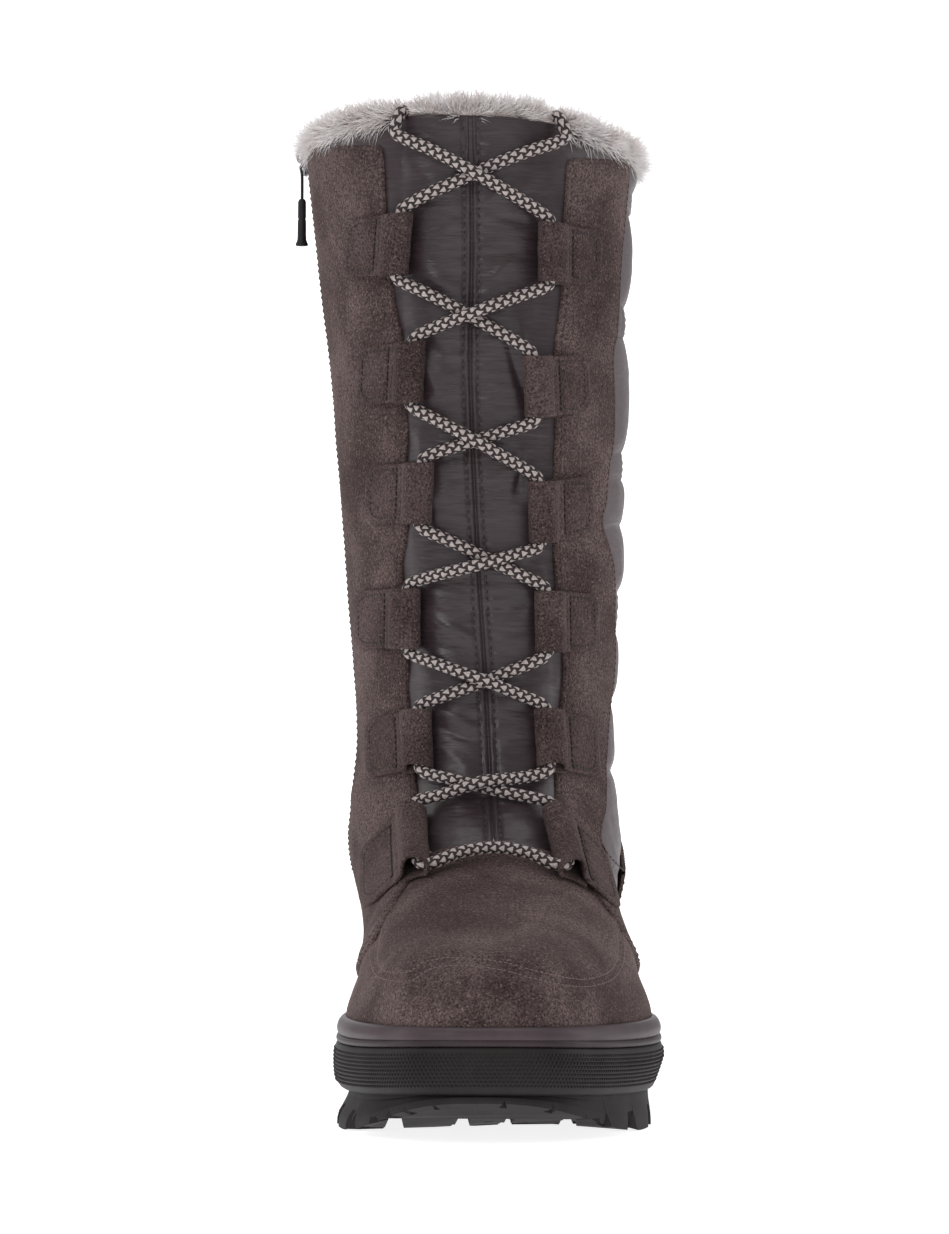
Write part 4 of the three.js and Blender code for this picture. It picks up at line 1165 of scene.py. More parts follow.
def loop_straps():
    for k in range(ROWS):
        for side, word in ((-1, "inner"), (1, "outer")):
            piece(f"strap_{word}_{k + 1}", strap_body(k, side), LOOP_SUEDE, [f"loop_{word}_{k + 1}"])


# ------------------------------------------------------------------------------------------------- the lace


def strand(side, over):
    """One strand from the bar over the vamp to the collar, crossing at the front seam over or under the
    other."""
    points = []
    at = side
    raised = LACE_CROSS["over" if over else "under"]
    for k in range(ROWS):
        for v in (-MOUTH, -0.8, 0, 0.8, MOUTH)[0 if k else 1 :]:
            past, lowered = (-1.6, 0.5) if abs(v) > 1 else (-0.7, 0)
            points.append(strap_place(k, at, past, v * LOOP_HALF, LACE_HEIGHT - lowered))
        middle, here = LOOPS[at][k]
        following, reach = LOOPS[-at][k + 1] if k + 1 < ROWS else (LACE_TOP["z"], LACE_TOP["reach"][-at])
        above, below = following - MOUTH * LOOP_HALF, middle + MOUTH * LOOP_HALF
        for t in (0.2, 0.36, 0.5, 0.64, 0.8):
            z = below + (above - below) * t
            x = seam(z) + at * (here * (1 - t) - reach * t)
            points.append(on_front(x, z, LACE_CROSS["clear"] + raised * math.sin(math.pi * t) ** 4))
        at = -at
    for z, out in LACE_TOP["curl"]:
        points.append(on_front(seam(330) + at * (LACE_TOP["reach"][at] + 1.5), z - LACE_TOP["low"][at], out))
    return points


MOUTH = 1.12  # where the lace turns off past a loop, in halves of the loop
LACE_CROSS = {"clear": 3.6, "over": 3.3, "under": -0.9}
LACE_TOP = {"z": 339, "reach": {-1: 21.7, 1: 28.3}, "low": {-1: 3.0, 1: 2.0},
    "curl": ((331, 3.4), (335.6, 2.6), (338.6, -0.6), (337.4, -4.6), (331, -6.4))}


def lace_route():
    across = []
    for t in (-0.8, -0.45, 0, 0.45, 0.8):
        z = LACE_BAR["z"] - LACE_BAR["drop"] * t * t
        across.append(on_front(seam(z) + t * (LOOPS[1 if t > 0 else -1][0][1] + 1.5), z, LACE_HEIGHT - 1.2))
    return np.array([*strand(-1, True)[::-1], *across, *strand(1, False)])


def smooth_route(points, step):
    """A centripetal curve through the points, with a point for every step of its length."""
    gaps = np.sqrt(np.linalg.norm(np.diff(points, axis=0), axis=1))
    at = np.concatenate([[0], np.cumsum(gaps)])
    fine = np.linspace(0, at[-1], 40 * len(points))
    line = np.stack([smooth_curve(at, points[:, k], fine) for k in range(3)], -1)
    run = np.concatenate([[0], np.cumsum(np.linalg.norm(np.diff(line, axis=0), axis=1))])
    even = np.linspace(0, run[-1], int(run[-1] / step))
    return np.stack([np.interp(even, run, line[:, k]) for k in range(3)], -1)


def frames(line):
    """Directions along and across a line, carried along it without twist."""
    ahead = unit(np.gradient(line, axis=0))
    side = np.zeros_like(line)
    side[0] = unit(np.cross(ahead[0], (0.0, 0.0, 1.0)))
    for k in range(1, len(line)):
        turned = side[k - 1] - ahead[k] * np.dot(side[k - 1], ahead[k])
        side[k] = turned / np.linalg.norm(turned)
    return ahead, side, np.cross(ahead, side)


def lace_cord():
    """One braided cord through all twelve loops. Its ends go over the collar and stop inside it."""
    line = smooth_route(lace_route(), LACE_STEP)
    _, side, up = frames(line)
    sides = 24
    turn = np.linspace(0, 2 * math.pi, sides, endpoint=False)[None, :]
    run = np.arange(len(line))[:, None] * LACE_STEP
    u = turn / (2 * math.pi) * BRAID_ROWS
    v = run / BRAID_STEP + 0.5 * (np.floor(u) % 2)
    swell = np.sin(math.pi * (u % 1))
    relief = 0.15 * np.cos(2 * math.pi * (v - 0.5)) * swell + 0.07 * swell
    radius = (LACE_RADIUS + relief)[..., None]
    rings = line[:, None] + radius * (side[:, None] * np.cos(turn)[..., None] + up[:, None]
        * np.sin(turn)[..., None])
    made = mesh_object("lace_cord", tube(rings), LACE)
    layer = made.data.uv_layers.new(name="braid")
    quads = (len(line) - 1) * sides
    i, j = np.divmod(np.arange(quads), sides)
    corners = np.stack([np.stack([(j + a) / sides, (i + b) * LACE_STEP / 10], -1)
        for a, b in ((0, 0), (1, 0), (1, 1), (0, 1))], 1)
    flat_uv = np.zeros(len(made.data.loops) * 2)
    flat_uv[: quads * 8] = corners.ravel()
    layer.data.foreach_set("uv", flat_uv)
    settle(made, ["lace"])


loop_straps()
lace_cord()


# -------------------------------------------------------------------------------------------------- the sole


def hoop(profile, place, columns=360):
    """A closed ring of one section, given as (z, out) upwards on its outer side and back down on its inner
    side."""
    turn = np.linspace(0, 2 * math.pi, columns, endpoint=False)[None, :]
    z, out = (np.array([row[k] for row in profile], float)[:, None] for k in (0, 1))
    points = place(turn + 0 * z, z + 0 * turn, out + 0 * turn)
    rows = len(profile)
    faces = []
    for i in range(rows):
        for j in range(columns):
            k, up = (j + 1) % columns, (i + 1) % rows
            faces.append((i * columns + j, i * columns + k, up * columns + k, up * columns + j))
    return points.reshape(-1, 3), faces


def plan(turn, z, out):
    drawn = np.interp(z, UNDERCUT["z"], UNDERCUT["in"]) * np.clip(np.sin(turn), 0, 1)
    x, s = footprint(turn, out - drawn)
    return np.stack([x, -s, z + lift(s)], -1)


def on_welt(turn, z, out):
    dip = WELT_DIP * (z - WELT_LOW) / (WELT_TOP - WELT_LOW)
    return surface(turn, z - spring_at(outline(turn, z)[1], dip, SPRING_START["band"]), out)


BEAD = (
    (29.9, 0.4), (29.65, 2.45), (29.97, 2.85), (30.7, 3.15), (31.7, 3.2), (32.8, 2.95), (33.9, 2.4),
    (34.7, 1.7), (35.2, 0.9), (35.3, 0.2), (34.7, -0.9), (30.3, -0.9),
)
LIP = (
    (27.4, 0.4), (27.2, 2.7), (27.35, 3.1), (27.85, 3.35), (28.5, 3.35), (29.1, 3.1), (29.5, 2.6),
    (29.6, 0.4), (29.55, -0.9), (27.6, -0.9),
)
BAND = (  # height and distance out of the cup sole's side
    (12.2, -0.6), (12.1, 0.5), (12.3, 1.3), (12.8, 2.05), (13.6, 2.7), (14.6, 3.2), (16, 3.55), (17.9, 3.8),
    (20.5, 3.9), (23.5, 3.85), (25.4, 3.6), (26.4, 3.3), (26.9, 2.9), (27.1, 2.4), (27.0, 0.2), (21.0, 0.2),
    (20.7, -4), (13.6, -4),
)
# the band draws in below on the outer side
UNDERCUT = {"z": (12, 15.2, 18.5, 22.5), "in": (1.2, 2.2, 1.3, 0)}
PIMPLE = {"low": 14.9, "high": 25.9, "step": 1.42, "radius": 0.46, "height": 0.52}


def dome(radius, height, sides=6):
    """A low rounded stud standing on its own origin."""
    points = [(radius * r * math.cos(2 * math.pi * k / sides),
        radius * r * math.sin(2 * math.pi * k / sides), height * h)
              for r, h in ((1.15, -0.3), (0.8, 0.7)) for k in range(sides)]
    points.append((0, 0, height))
    faces = [(k, (k + 1) % sides, sides + (k + 1) % sides, sides + k) for k in range(sides)]
    faces += [(sides + k, sides + (k + 1) % sides, 2 * sides) for k in range(sides)]
    faces.append(tuple(range(sides - 1, -1, -1)))
    return points, faces


def pimples():
    """Staggered rows of small studs all round the side band, out from between its smooth margins."""
    turn = np.linspace(0, 2 * math.pi, 4000)
    x, s = footprint(turn, 3.8)
    run = np.concatenate([[0], np.cumsum(np.hypot(np.diff(x), np.diff(s)))])
    count = int(run[-1] / PIMPLE["step"])
    rows = int((PIMPLE["high"] - PIMPLE["low"]) / (PIMPLE["step"] * 0.87)) + 1
    profile = np.array(BAND[1:13])
    places, outs, alongs = [], [], []
    for row in range(rows):
        z = PIMPLE["low"] + row * PIMPLE["step"] * 0.87
        out = np.interp(z, profile[:, 0], profile[:, 1])
        slope = (np.interp(z + 0.2, profile[:, 0], profile[:, 1])
            - np.interp(z - 0.2, profile[:, 0], profile[:, 1])) / 0.4
        at = np.interp((np.arange(count) + 0.5 * (row % 2)) * run[-1] / count, run, turn)
        here = plan(at, np.full(at.shape, z), np.full(at.shape, out - 0.03))
        around = unit(plan(at + 1e-3, z + 0 * at, out + 0 * at) - plan(at - 1e-3, z + 0 * at, out + 0 * at))
        up = np.array([0, 0, 1.0])
        normal = unit(np.cross(around, up) - slope * up)
        places.append(here)
        outs.append(normal)
        alongs.append(around)
    source = points_object("pimple_places", np.concatenate(places), np.concatenate(outs),
        np.concatenate(alongs))
    stud = part_object("stud", *dome(PIMPLE["radius"], PIMPLE["height"]))
    made = run_tree(source, standing_tree(), "band_pimples", {"Part": stud, "Material": BAND_RUBBER})
    bpy.data.objects.remove(stud)
    settle(made)


def points_object(name, points, outs, alongs):
    mesh = bpy.data.meshes.new(name)
    mesh.from_pydata(to_frame(points).tolist(), [], [])
    vectors(mesh, "out", outs)
    vectors(mesh, "along", alongs)
    made = bpy.data.objects.new(name, mesh)
    bpy.context.scene.collection.objects.link(made)
    return made


CROSS_GROOVES = (16, 39, 62, 85, 131, 154, 177, 200, 223, 246)
CROSS_GROOVE = {"width": 6.5, "vee": 7, "over": 62}
LONG_GROOVES = ((-33, 5.5), (-11.4, 5.2), (3.2, 3.8), (22, 6))
GROOVE_ROOT = 7.0
ARCH = {"start": 84, "end": 132, "rise": 5}
# degrees round from the toe, half the opening, how high it cuts, and the length of the slit above
NOTCHES = (
    (-66, 2.6, 4.4, 4.0), (-46.5, 4.2, 5.4, 3.2), (-33, 2.2, 2.2, 0.1), (-26.5, 2.8, 2.6, 0.1),
    (-19.5, 1.8, 1.7, 0.1), (-10, 1.2, 0.9, 0.1), (3, 1.4, 1.3, 0.1), (16, 1.8, 1.9, 0.1),
    (28, 2.2, 1.6, 0.1), (37, 3.6, 4.2, 4.2), (50.5, 3.4, 4.4, 4.4), (66, 2.4, 4, 3.5),
)
SIDE_NOTCHES = (80, 92, 104, 115, 126, 137, 148, 158, 169, 180)
SIDE_NOTCH = (2.4, 4.2, 3.4)
NOTCH_DEPTH, SLIT = 2.6, 0.28
TREAD_LEVELS = (  # height, distance out, how much more on the inner side, and the share of the tread's spring
    (0, 1.5, 1.6, 1.0), (1.8, 1.45, 1.6, 0.92), (3.9, 1.1, 1.4, 0.8), (6.4, 0.2, 0.8, 0.6),
    (8.5, -0.5, 0.4, 0.45), (10.2, -0.9, 0.1, 0.2), (12.6, -1.1, 0.0, 0.0),
)


def channel(path, width):
    """A groove's cutter: a channel with sloping walls along plan points, wider at the floor."""
    path = np.array(path, float)
    ahead = unit(np.gradient(path, axis=0))
    normal = np.stack([-ahead[:, 1], ahead[:, 0]], -1)
    rings = []
    for place, n in zip(path, normal):
        corners = [(-0.75, -3.0), (0.75, -3.0), (0.35, GROOVE_ROOT), (-0.35, GROOVE_ROOT)]
        rings.append([(place[0] + n[0] * w * width, -(place[1] + n[1] * w * width), z) for w, z in corners])
    return tube(np.array(rings))


def tread_wall(angle, z, out, extra, share):
    x, s = footprint(angle, out - extra * np.sin(angle))
    lifted = share * tread_lift(s) + (1 - share) * lift(s)
    return np.stack([x, -s, z + lifted], -1)


def notches():
    """Cutters for the tread's edge: a fine slit that opens downwards into a V."""
    sides = [(turn * side, *SIDE_NOTCH) for turn in SIDE_NOTCHES for side in (-1, 1) if side * turn > -180]
    bodies = []
    for turn, half, rise, above in [*NOTCHES, *sides]:
        angle = np.array(turn * DEGREE)
        rings = []
        for out, slit in ((-NOTCH_DEPTH, 0.08), (6.0, SLIT)):
            x, s = footprint(angle, out)
            a, b = footprint(angle + 1e-3, out), footprint(angle - 1e-3, out)
            d = unit(np.array([a[0] - b[0], a[1] - b[1]]))
            lifted = float(tread_lift(footprint(angle, 0.0)[1]))
            section = [(-half * 1.3, -2), (half * 1.3, -2), (slit, rise), (slit, rise + above),
                (-slit, rise + above),
                       (-slit, rise)]
            rings.append([(x + d[0] * w, -(s + d[1] * w), z + lifted) for w, z in section])
        bodies.append(tube(np.array(rings)))
    return joined(*bodies)


def outward(made):
    """Turns a closed mesh's faces outwards."""
    work = bmesh.new()
    work.from_mesh(made.data)
    bmesh.ops.recalc_face_normals(work, faces=work.faces)
    work.to_mesh(made.data)
    work.free()
    return made


def cut_away(target, body):
    cutter = outward(mesh_object("cutter", body))
    modifier = target.modifiers.new("cut", "BOOLEAN")
    modifier.operation, modifier.solver, modifier.object = "DIFFERENCE", "EXACT", cutter
    depsgraph = bpy.context.evaluated_depsgraph_get()
    mesh = bpy.data.meshes.new_from_object(target.evaluated_get(depsgraph))
    target.modifiers.clear()
    target.data = mesh
    bpy.data.objects.remove(cutter)


def tread():
    angle = np.linspace(0, 2 * math.pi, 240, endpoint=False)[None, :]
    columns = [np.array([row[k] for row in TREAD_LEVELS], float)[:, None] for k in range(4)]
    z, out, extra, share = (c + 0 * angle for c in columns)
    wall = tread_wall(angle + 0 * z, z, out, extra, share)
    rows, count = wall.shape[:2]
    points, faces = wall.reshape(-1, 3), grid_faces(rows, count, closed=True).tolist()
    faces.append(tuple(range(count - 1, -1, -1)))
    faces.append(tuple((rows - 1) * count + k for k in range(count)))
    made = mesh_object("tread", (points, faces), TREAD_RUBBER, smooth=False)
    g = CROSS_GROOVE
    chevrons = [channel([(-g["over"], s - g["vee"]), (-2, s + g["vee"] - 0.4), (2, s + g["vee"] - 0.4),
                         (g["over"], s - g["vee"])], g["width"]) for s in CROSS_GROOVES]
    lanes = [channel([(x * 0.65, -12), (x * 0.85, 85), (x, 170), (x, 286)], width)
        for x, width in LONG_GROOVES]
    cut_away(made, joined(*chevrons))
    cut_away(made, joined(*lanes))
    cut_away(made, notches())
    a = ARCH
    box = [[(x, -s, z) for x, s in ((-70, a["start"]), (-70, a["end"]), (70, a["end"]), (70, a["start"]))]
           for z in (-5, a["rise"])]
    cut_away(made, tube(np.array(box)))
    bevel = made.modifiers.new("soft_edges", "BEVEL")
    bevel.width, bevel.segments, bevel.limit_method, bevel.angle_limit = 0.00035, 1, "ANGLE", math.radians(35)
    made.data.polygons.foreach_set("use_smooth", [False] * len(made.data.polygons))
    settle(made, ["outsole"])


def sole():
    piece("welt_bead", hoop(BEAD, on_welt), BEAD_RUBBER, ["welt"])
    piece("band_lip", hoop(LIP, plan), LIP_RUBBER)
    piece("side_band", hoop(BAND, plan), BAND_RUBBER, ["midsole"])
    pimples()
    tread()
    angle, z = np.meshgrid(np.linspace(0, 2 * math.pi, 120, endpoint=False), np.linspace(0, 1, 24))
    x, s = footprint(angle, -WALL - 1.6)
    shrink = z**0.8
    top = 25.3 + 0.4 * lumps(np.stack([x, s, z * 0], -1), 7, 70)
    cx, cs = x.mean(), s.mean()
    x, s = x + (cx - x) * (0.02 + 0.96 * (1 - shrink)), s + (cs - s) * (0.02 + 0.96 * (1 - shrink))
    low = np.stack([x, -s, 21.1 + lift(s)], -1)
    high = np.stack([x, -s, top + lift(s)], -1)
    piece("footbed", slab(high, low, closed=True), FELT, ["insole"])


sole()


# -------------------------------------------------------------------------------------------------- the zip


def pipe(line, radius, sides=8):
    line = np.asarray(line, float)
    _, side, up = frames(line)
    turn = np.linspace(0, 2 * math.pi, sides, endpoint=False)[None, :, None]
    return tube(line[:, None] + radius * (side[:, None] * np.cos(turn) + up[:, None] * np.sin(turn)))


def lathe(profile, sides=28):
    """A turned body round Z from (height, radius) rows."""
    profile = np.array(profile, float)
    turn = np.linspace(0, 2 * math.pi, sides, endpoint=False)[None, :]
    x, y = profile[:, 1:] * np.cos(turn), profile[:, 1:] * np.sin(turn)
    return tube(np.stack([x, y, profile[:, :1] + 0 * x], -1))


def wire_ring(radius, wire, turns=28, sides=8):
    """A closed ring of wire in the YZ plane round the origin."""
    a, b = np.meshgrid(np.linspace(0, 2 * math.pi, turns, endpoint=False),
                       np.linspace(0, 2 * math.pi, sides, endpoint=False), indexing="ij")
    reach = radius + wire * np.cos(b)
    points = np.stack([wire * np.sin(b), reach * np.cos(a), reach * np.sin(a)], -1).reshape(-1, 3)
    faces = [(i * sides + j, ((i + 1) % turns) * sides + j, ((i + 1) % turns) * sides + (j + 1) % sides,
              i * sides + (j + 1) % sides) for i in range(turns) for j in range(sides)]
    return points, faces


def rounded_plate(outline_points, low, high, bevel):
    """A plate with soft edges, from its outline in the YZ plane."""
    outline_points = np.array(outline_points, float)
    middle = outline_points.mean(0)
    size = np.abs(outline_points - middle).max(0)
    rings = []
    for x, inset in ((low, bevel), (low + bevel, 0), (high - bevel, 0), (high - bevel * 0.3, bevel * 0.45),
            (high, bevel)):
        shrunk = middle + (outline_points - middle) * (1 - inset / size)
        rings.append(np.concatenate([np.full((len(shrunk), 1), x), shrunk], -1))
    return tube(np.array(rings))


def on_slider(body):
    """From the slider's own axes (out of the boot, round it, up the zip) to the boot's."""
    foot = surface(np.array(ZIP_TURN), np.array(float(SLIDER_Z)))
    out = surface(np.array(ZIP_TURN), np.array(float(SLIDER_Z)), 1.0) - foot
    out[2] = 0
    out = out / np.linalg.norm(out)
    up = np.array([0, 0, 1.0])
    axes = np.stack([out, np.cross(up, out), up])
    return foot + np.asarray(body[0], float) @ axes, body[1]


def bar_part(width, length, height, x, y):
    """A rounded bar across the zip, one loop of its coil."""
    sides, rings = 8, []
    for t, r in ((-1, 0.45), (-0.8, 0.9), (0.8, 0.9), (1, 0.45)):
        turn = np.linspace(0, 2 * math.pi, sides, endpoint=False)
        rings.append(np.stack([x + width / 2 * r * np.cos(turn), np.full(sides, y + t * length / 2),
                               -height / 2 * r * np.sin(turn)], -1))
    return tube(np.array(rings))


ZIP_STEP = 1.45
RING = {"radius": 2.05, "wire": 0.42, "out": 1.85}
GRIP_PROFILE = ((0, 0.9), (0.05, 1.7), (0.3, 2.15), (0.8, 2.2), (1.3, 1.95), (2.2, 1.6), (4, 1.52),
    (9, 1.48), (9.3, 1.3),
                (9.8, 1.3), (10.1, 1.46), (15.2, 1.42), (15.9, 1.3), (16.4, 1.0), (16.6, 0.6))
PULL_LENGTH = 32.0


def zip_pieces():
    z, across = np.meshgrid(np.linspace(ZIP["foot"] - 1, ZIP["top"], 150), np.linspace(-1, 1, 13),
        indexing="ij")
    angle = zip_side(z, across, ZIP["half"] + 0.4)
    raised = 0.25 * bell(across, 0.35)
    body = slab(surface(angle, z, -1.0 + raised), surface(angle, z, -2.6))
    piece("zip_tape_cloth", body, TAPE, ["zip_tape"])

    z = np.linspace(ZIP["foot"] + 1.5, SLIDER_Z - 7, 260)
    angle = np.full(z.shape, ZIP_TURN)
    source = lines_object("zip_line", [(surface(angle, z, -0.35), surface_normal(angle, z))])
    part = part_object("coil",
        *joined(bar_part(0.9, 3.0, 1.5, -0.36, 0.55), bar_part(0.9, 3.0, 1.5, 0.36, -0.55)))
    made = run_tree(source, along_tree(), "zip_coil",
        {"Part": part, "Step": ZIP_STEP / 1000, "Material": TEETH})
    bpy.data.objects.remove(part)
    settle(made)

    stop = rounded_plate([(-2.6, 0), (2.6, 0), (2.6, 3.2), (1.8, 4.2), (-1.8, 4.2), (-2.6, 3.2)], -0.9, 0.5,
        0.3)
    foot = surface(np.array(ZIP_TURN), np.array(ZIP["foot"] - 2.0))
    stop = (stop[0] @ np.array([[-1, 0, 0], [0, -1, 0], [0, 0, 1.0]]) + foot, stop[1])
    piece("zip_bottom_stop", stop, PLATED)

    shield = [(-3.3, -7.0), (-2.3, -7.5), (2.3, -7.5), (3.3, -7.0), (3.8, -2.5), (3.8, 0.6), (2.9, 1.4),
        (1.2, 0.8),
              (-1.2, 0.8), (-2.9, 1.4), (-3.8, 0.6), (-3.8, -2.5)]
    arch = [(0.8, 0, 1.7), (2.3, 0, 1.8), (3.1, 0, 1.35), (3.4, 0, 0.5), (3.4, 0, -1.2), (3.1, 0, -2.1),
            (2.3, 0, -2.6), (0.8, 0, -2.6)]
    bail = pipe(smooth_line(arch, 0.45), 0.52)
    slider = joined(rounded_plate(shield, 0.05, 1.2, 0.3), bail)
    piece("slider", on_slider(slider), PLATED, ["zip_slider"])

    ring = wire_ring(RING["radius"], RING["wire"])
    ring = (ring[0] + np.array([RING["out"], 0, -RING["radius"]]), ring[1])
    piece("pull_ring", on_slider(ring), PLATED, ["zip_pull"], rides=PULL)
    loops = []
    for y in (-0.55, 0.55):
        neck = [(RING["out"], y * 1.2, -3.5), (RING["out"] + 0.5, y, -4.4), (RING["out"] + 0.1, y, -6.5),
                (RING["out"], y * 0.9, -10), (RING["out"], y * 0.8, -16)]
        loops.append(pipe(smooth_line(neck, 0.5), 0.5))
    piece("pull_cord", on_slider(joined(*loops)), DARK_THREAD, rides=PULL)
    grip = lathe(GRIP_PROFILE)
    grip = (grip[0] + np.array([RING["out"], 0, -PULL_LENGTH]), grip[1])
    piece("pull_grip", on_slider(grip), GRIP, rides=PULL)


def surface_normal(angle, z):
    return unit(surface(angle, z, 1.0) - surface(angle, z, 0.0))


# --------------------------------------------------------------------------------------------- the stitching


def stitch_part(length, radius):
    """One stitch along X: a short round thread whose ends dip into the leather."""
    sides, rings = 5, []
    for t, r, sink in ((-1, 0.5, 0.9), (0, 1.1, -0.05), (1, 0.5, 0.9)):
        turn = np.linspace(0, 2 * math.pi, sides, endpoint=False)
        rings.append(np.stack([np.full(sides, t * length / 2), radius * r * np.cos(turn),
                               radius * (r * np.sin(turn) - sink)], -1))
    return tube(np.array(rings))


def sewn(name, lines, step, length, radius, thread_material):
    """Stitches along lines of (points, directions out of the surface)."""
    source = lines_object(name + "_lines", lines)
    part = part_object("stitch", *stitch_part(length, radius))
    values = {"Part": part, "Step": step / 1000, "Scatter": 0.05, "Seed": 5, "Material": thread_material}
    made = run_tree(source, along_tree(), name, values)
    bpy.data.objects.remove(part)
    settle(made)


def line_on(angle, z, level, lift_by=0.14):
    """A line over a panel, from its angles and heights and the panel's own level there."""
    return surface(angle, z, level + lift_by), surface_normal(angle, z)


def shifted(angle, z, distance):
    return angle + distance / per_radian(angle, z)


def strap_stitches(k, side):
    line = smooth_line(STRAP_PATH, 0.3)
    run = np.concatenate([[0], np.cumsum(np.linalg.norm(np.diff(line, axis=0), axis=1))])
    half, corner, start, end = LOOP_HALF * 0.94 - 1.9, 3.2, 1.9, STRAP_SEAM
    turn = np.linspace(0, math.pi / 2, 7)
    upper = [(end, half), (start + corner, half)]
    upper += [(start + corner - corner * math.sin(a), half - corner + corner * math.cos(a)) for a in turn[1:]]
    path = np.array(upper + [(r, -v) for r, v in upper[::-1]] + [(end, half)])
    lengths = np.concatenate([[0], np.cumsum(np.hypot(*np.diff(path, axis=0).T))])
    even = np.linspace(0, lengths[-1], 120)
    r, v = np.interp(even, lengths, path[:, 0]), np.interp(even, lengths, path[:, 1])
    past, height = np.interp(r, run, line[:, 0]), np.interp(r, run, line[:, 1])
    points = strap_place(k, side, past, v, height + STRAP_LEATHER / 2 + 0.1)
    return points, unit(strap_place(k, side, past, v, height + 2) - strap_place(k, side, past, v, height))


def all_stitching():
    heavy, fine, quilt, centre = [], [], [], []
    for side in (-1, 1):
        z = np.linspace(87, 323, 220)
        angle = shifted(throat(z, side), z, side * 2.1)
        heavy.append(line_on(angle, z, suede_level(angle, z, side)))
        low, high = (34, 96) if side < 0 else (41, 102)
        angle = side * np.linspace(low, high, 120) * DEGREE
        z = vamp_seam(angle, side) + 1.9
        heavy.append(line_on(angle, z, suede_level(angle, z, side)))
    z = np.linspace(79, 321, 220)
    angle = shifted(facing_back(z), z, -2.0)
    heavy.append(line_on(angle, z, suede_level(angle, z, 1)))
    for side, low, high in ((-1, 42, 84), (1, 40, 66)):
        angle = side * np.linspace(low, high, 60) * DEGREE
        z = facing_top(angle, side) - 2.0
        heavy.append(line_on(angle, z, suede_level(angle, z, side)))
    z = np.linspace(78, 328, 220)
    angle = shifted(zip_side(z, 1), z, 1.9)
    heavy.append(line_on(angle, z, suede_level(angle, z, -1)))
    angle = np.linspace(92, 262, 220) * DEGREE
    for inset in (2.0, 4.2):
        z = counter_top(angle) - inset
        heavy.append(line_on(angle, z, np.full(z.shape, LEVEL["counter"])))
    z = np.linspace(44, 74, 40)
    heavy.append(line_on(shifted(facing_back(z), z, 2.0), z, np.full(z.shape, LEVEL["counter"])))
    for k in range(ROWS):
        for side in (-1, 1):
            fine.append(strap_stitches(k, side))
    z = np.linspace(90, 332, 260)
    for beside in (-2.55, 2.55):
        points = on_front(seam(z) + beside, z, front_level(beside + 0 * z, z) + 0.12)
        centre.append((points, unit(on_front(seam(z) + beside, z, 1.0 + 0 * z)
            - on_front(seam(z) + beside, z, 0 * z))))
    angle = np.linspace(72, 258, 400) * DEGREE
    for height in QUILT_SEAMS:
        z = height + quilt_shift(angle)
        keep = (angle > facing_back(z) + 2 * DEGREE)
        quilt.append(line_on(angle[keep], z[keep], quilt_level(angle[keep], z[keep]), 0.1))
    apron = []
    for offset in (-1.25, 1.25):
        away = np.stack([-np.gradient(APRON_LINE[:, 1]), np.gradient(APRON_LINE[:, 0])], -1)
        line = smooth_line(APRON_LINE + offset * unit(away), 0.8)
        angle = angle_at(line[:, 0], line[:, 1])
        apron.append(line_on(angle, line[:, 1], vamp_level(angle, line[:, 1]), 0.08))
    sewn("facing_stitches", heavy, 2.3, 1.7, 0.24, BROWN_THREAD)
    sewn("strap_stitches", fine, 2.0, 1.5, 0.3, DARK_THREAD)
    sewn("front_stitches", centre, 2.7, 2.1, 0.27, DARK_THREAD)
    sewn("quilt_stitches", quilt, 2.6, 1.9, 0.22, DARK_THREAD)
    sewn("apron_stitches", apron, 1.7, 1.2, 0.17, PALE_THREAD)


# --------------------------------------------------------------------------------------------------- the fur

FUR_BED = (
    (332.6, -4.2), (333.0, -2.9), (333.8, -2.2), (335.0, -1.9), (336.2, -2.2), (337.2, -3.0), (337.6, -4.4),
    (337.0, -5.9), (335.0, -6.9), (330.0, -7.0), (322.0, -6.8), (320.5, -6.2), (322.0, -5.6), (331.0, -5.4),
)


def hair_part(length, radius, bend):
    """One tapered hair along Z that bends towards X."""
    sides, rings = 3, []
    for t, r in ((0, 1.0), (0.55, 0.75)):
        turn = np.linspace(0, 2 * math.pi, sides, endpoint=False)
        rings.append(np.stack([bend * t * t + radius * r * np.cos(turn), radius * r * np.sin(turn),
                               np.full(sides, t * length)], -1))
    points = np.concatenate([np.concatenate(rings), [[bend, 0, length]]])
    faces = grid_faces(2, sides, closed=True).tolist()
    faces += [(sides + k, sides + (k + 1) % sides, 2 * sides) for k in range(sides)]
    faces.append((2, 1, 0))
    return points, faces


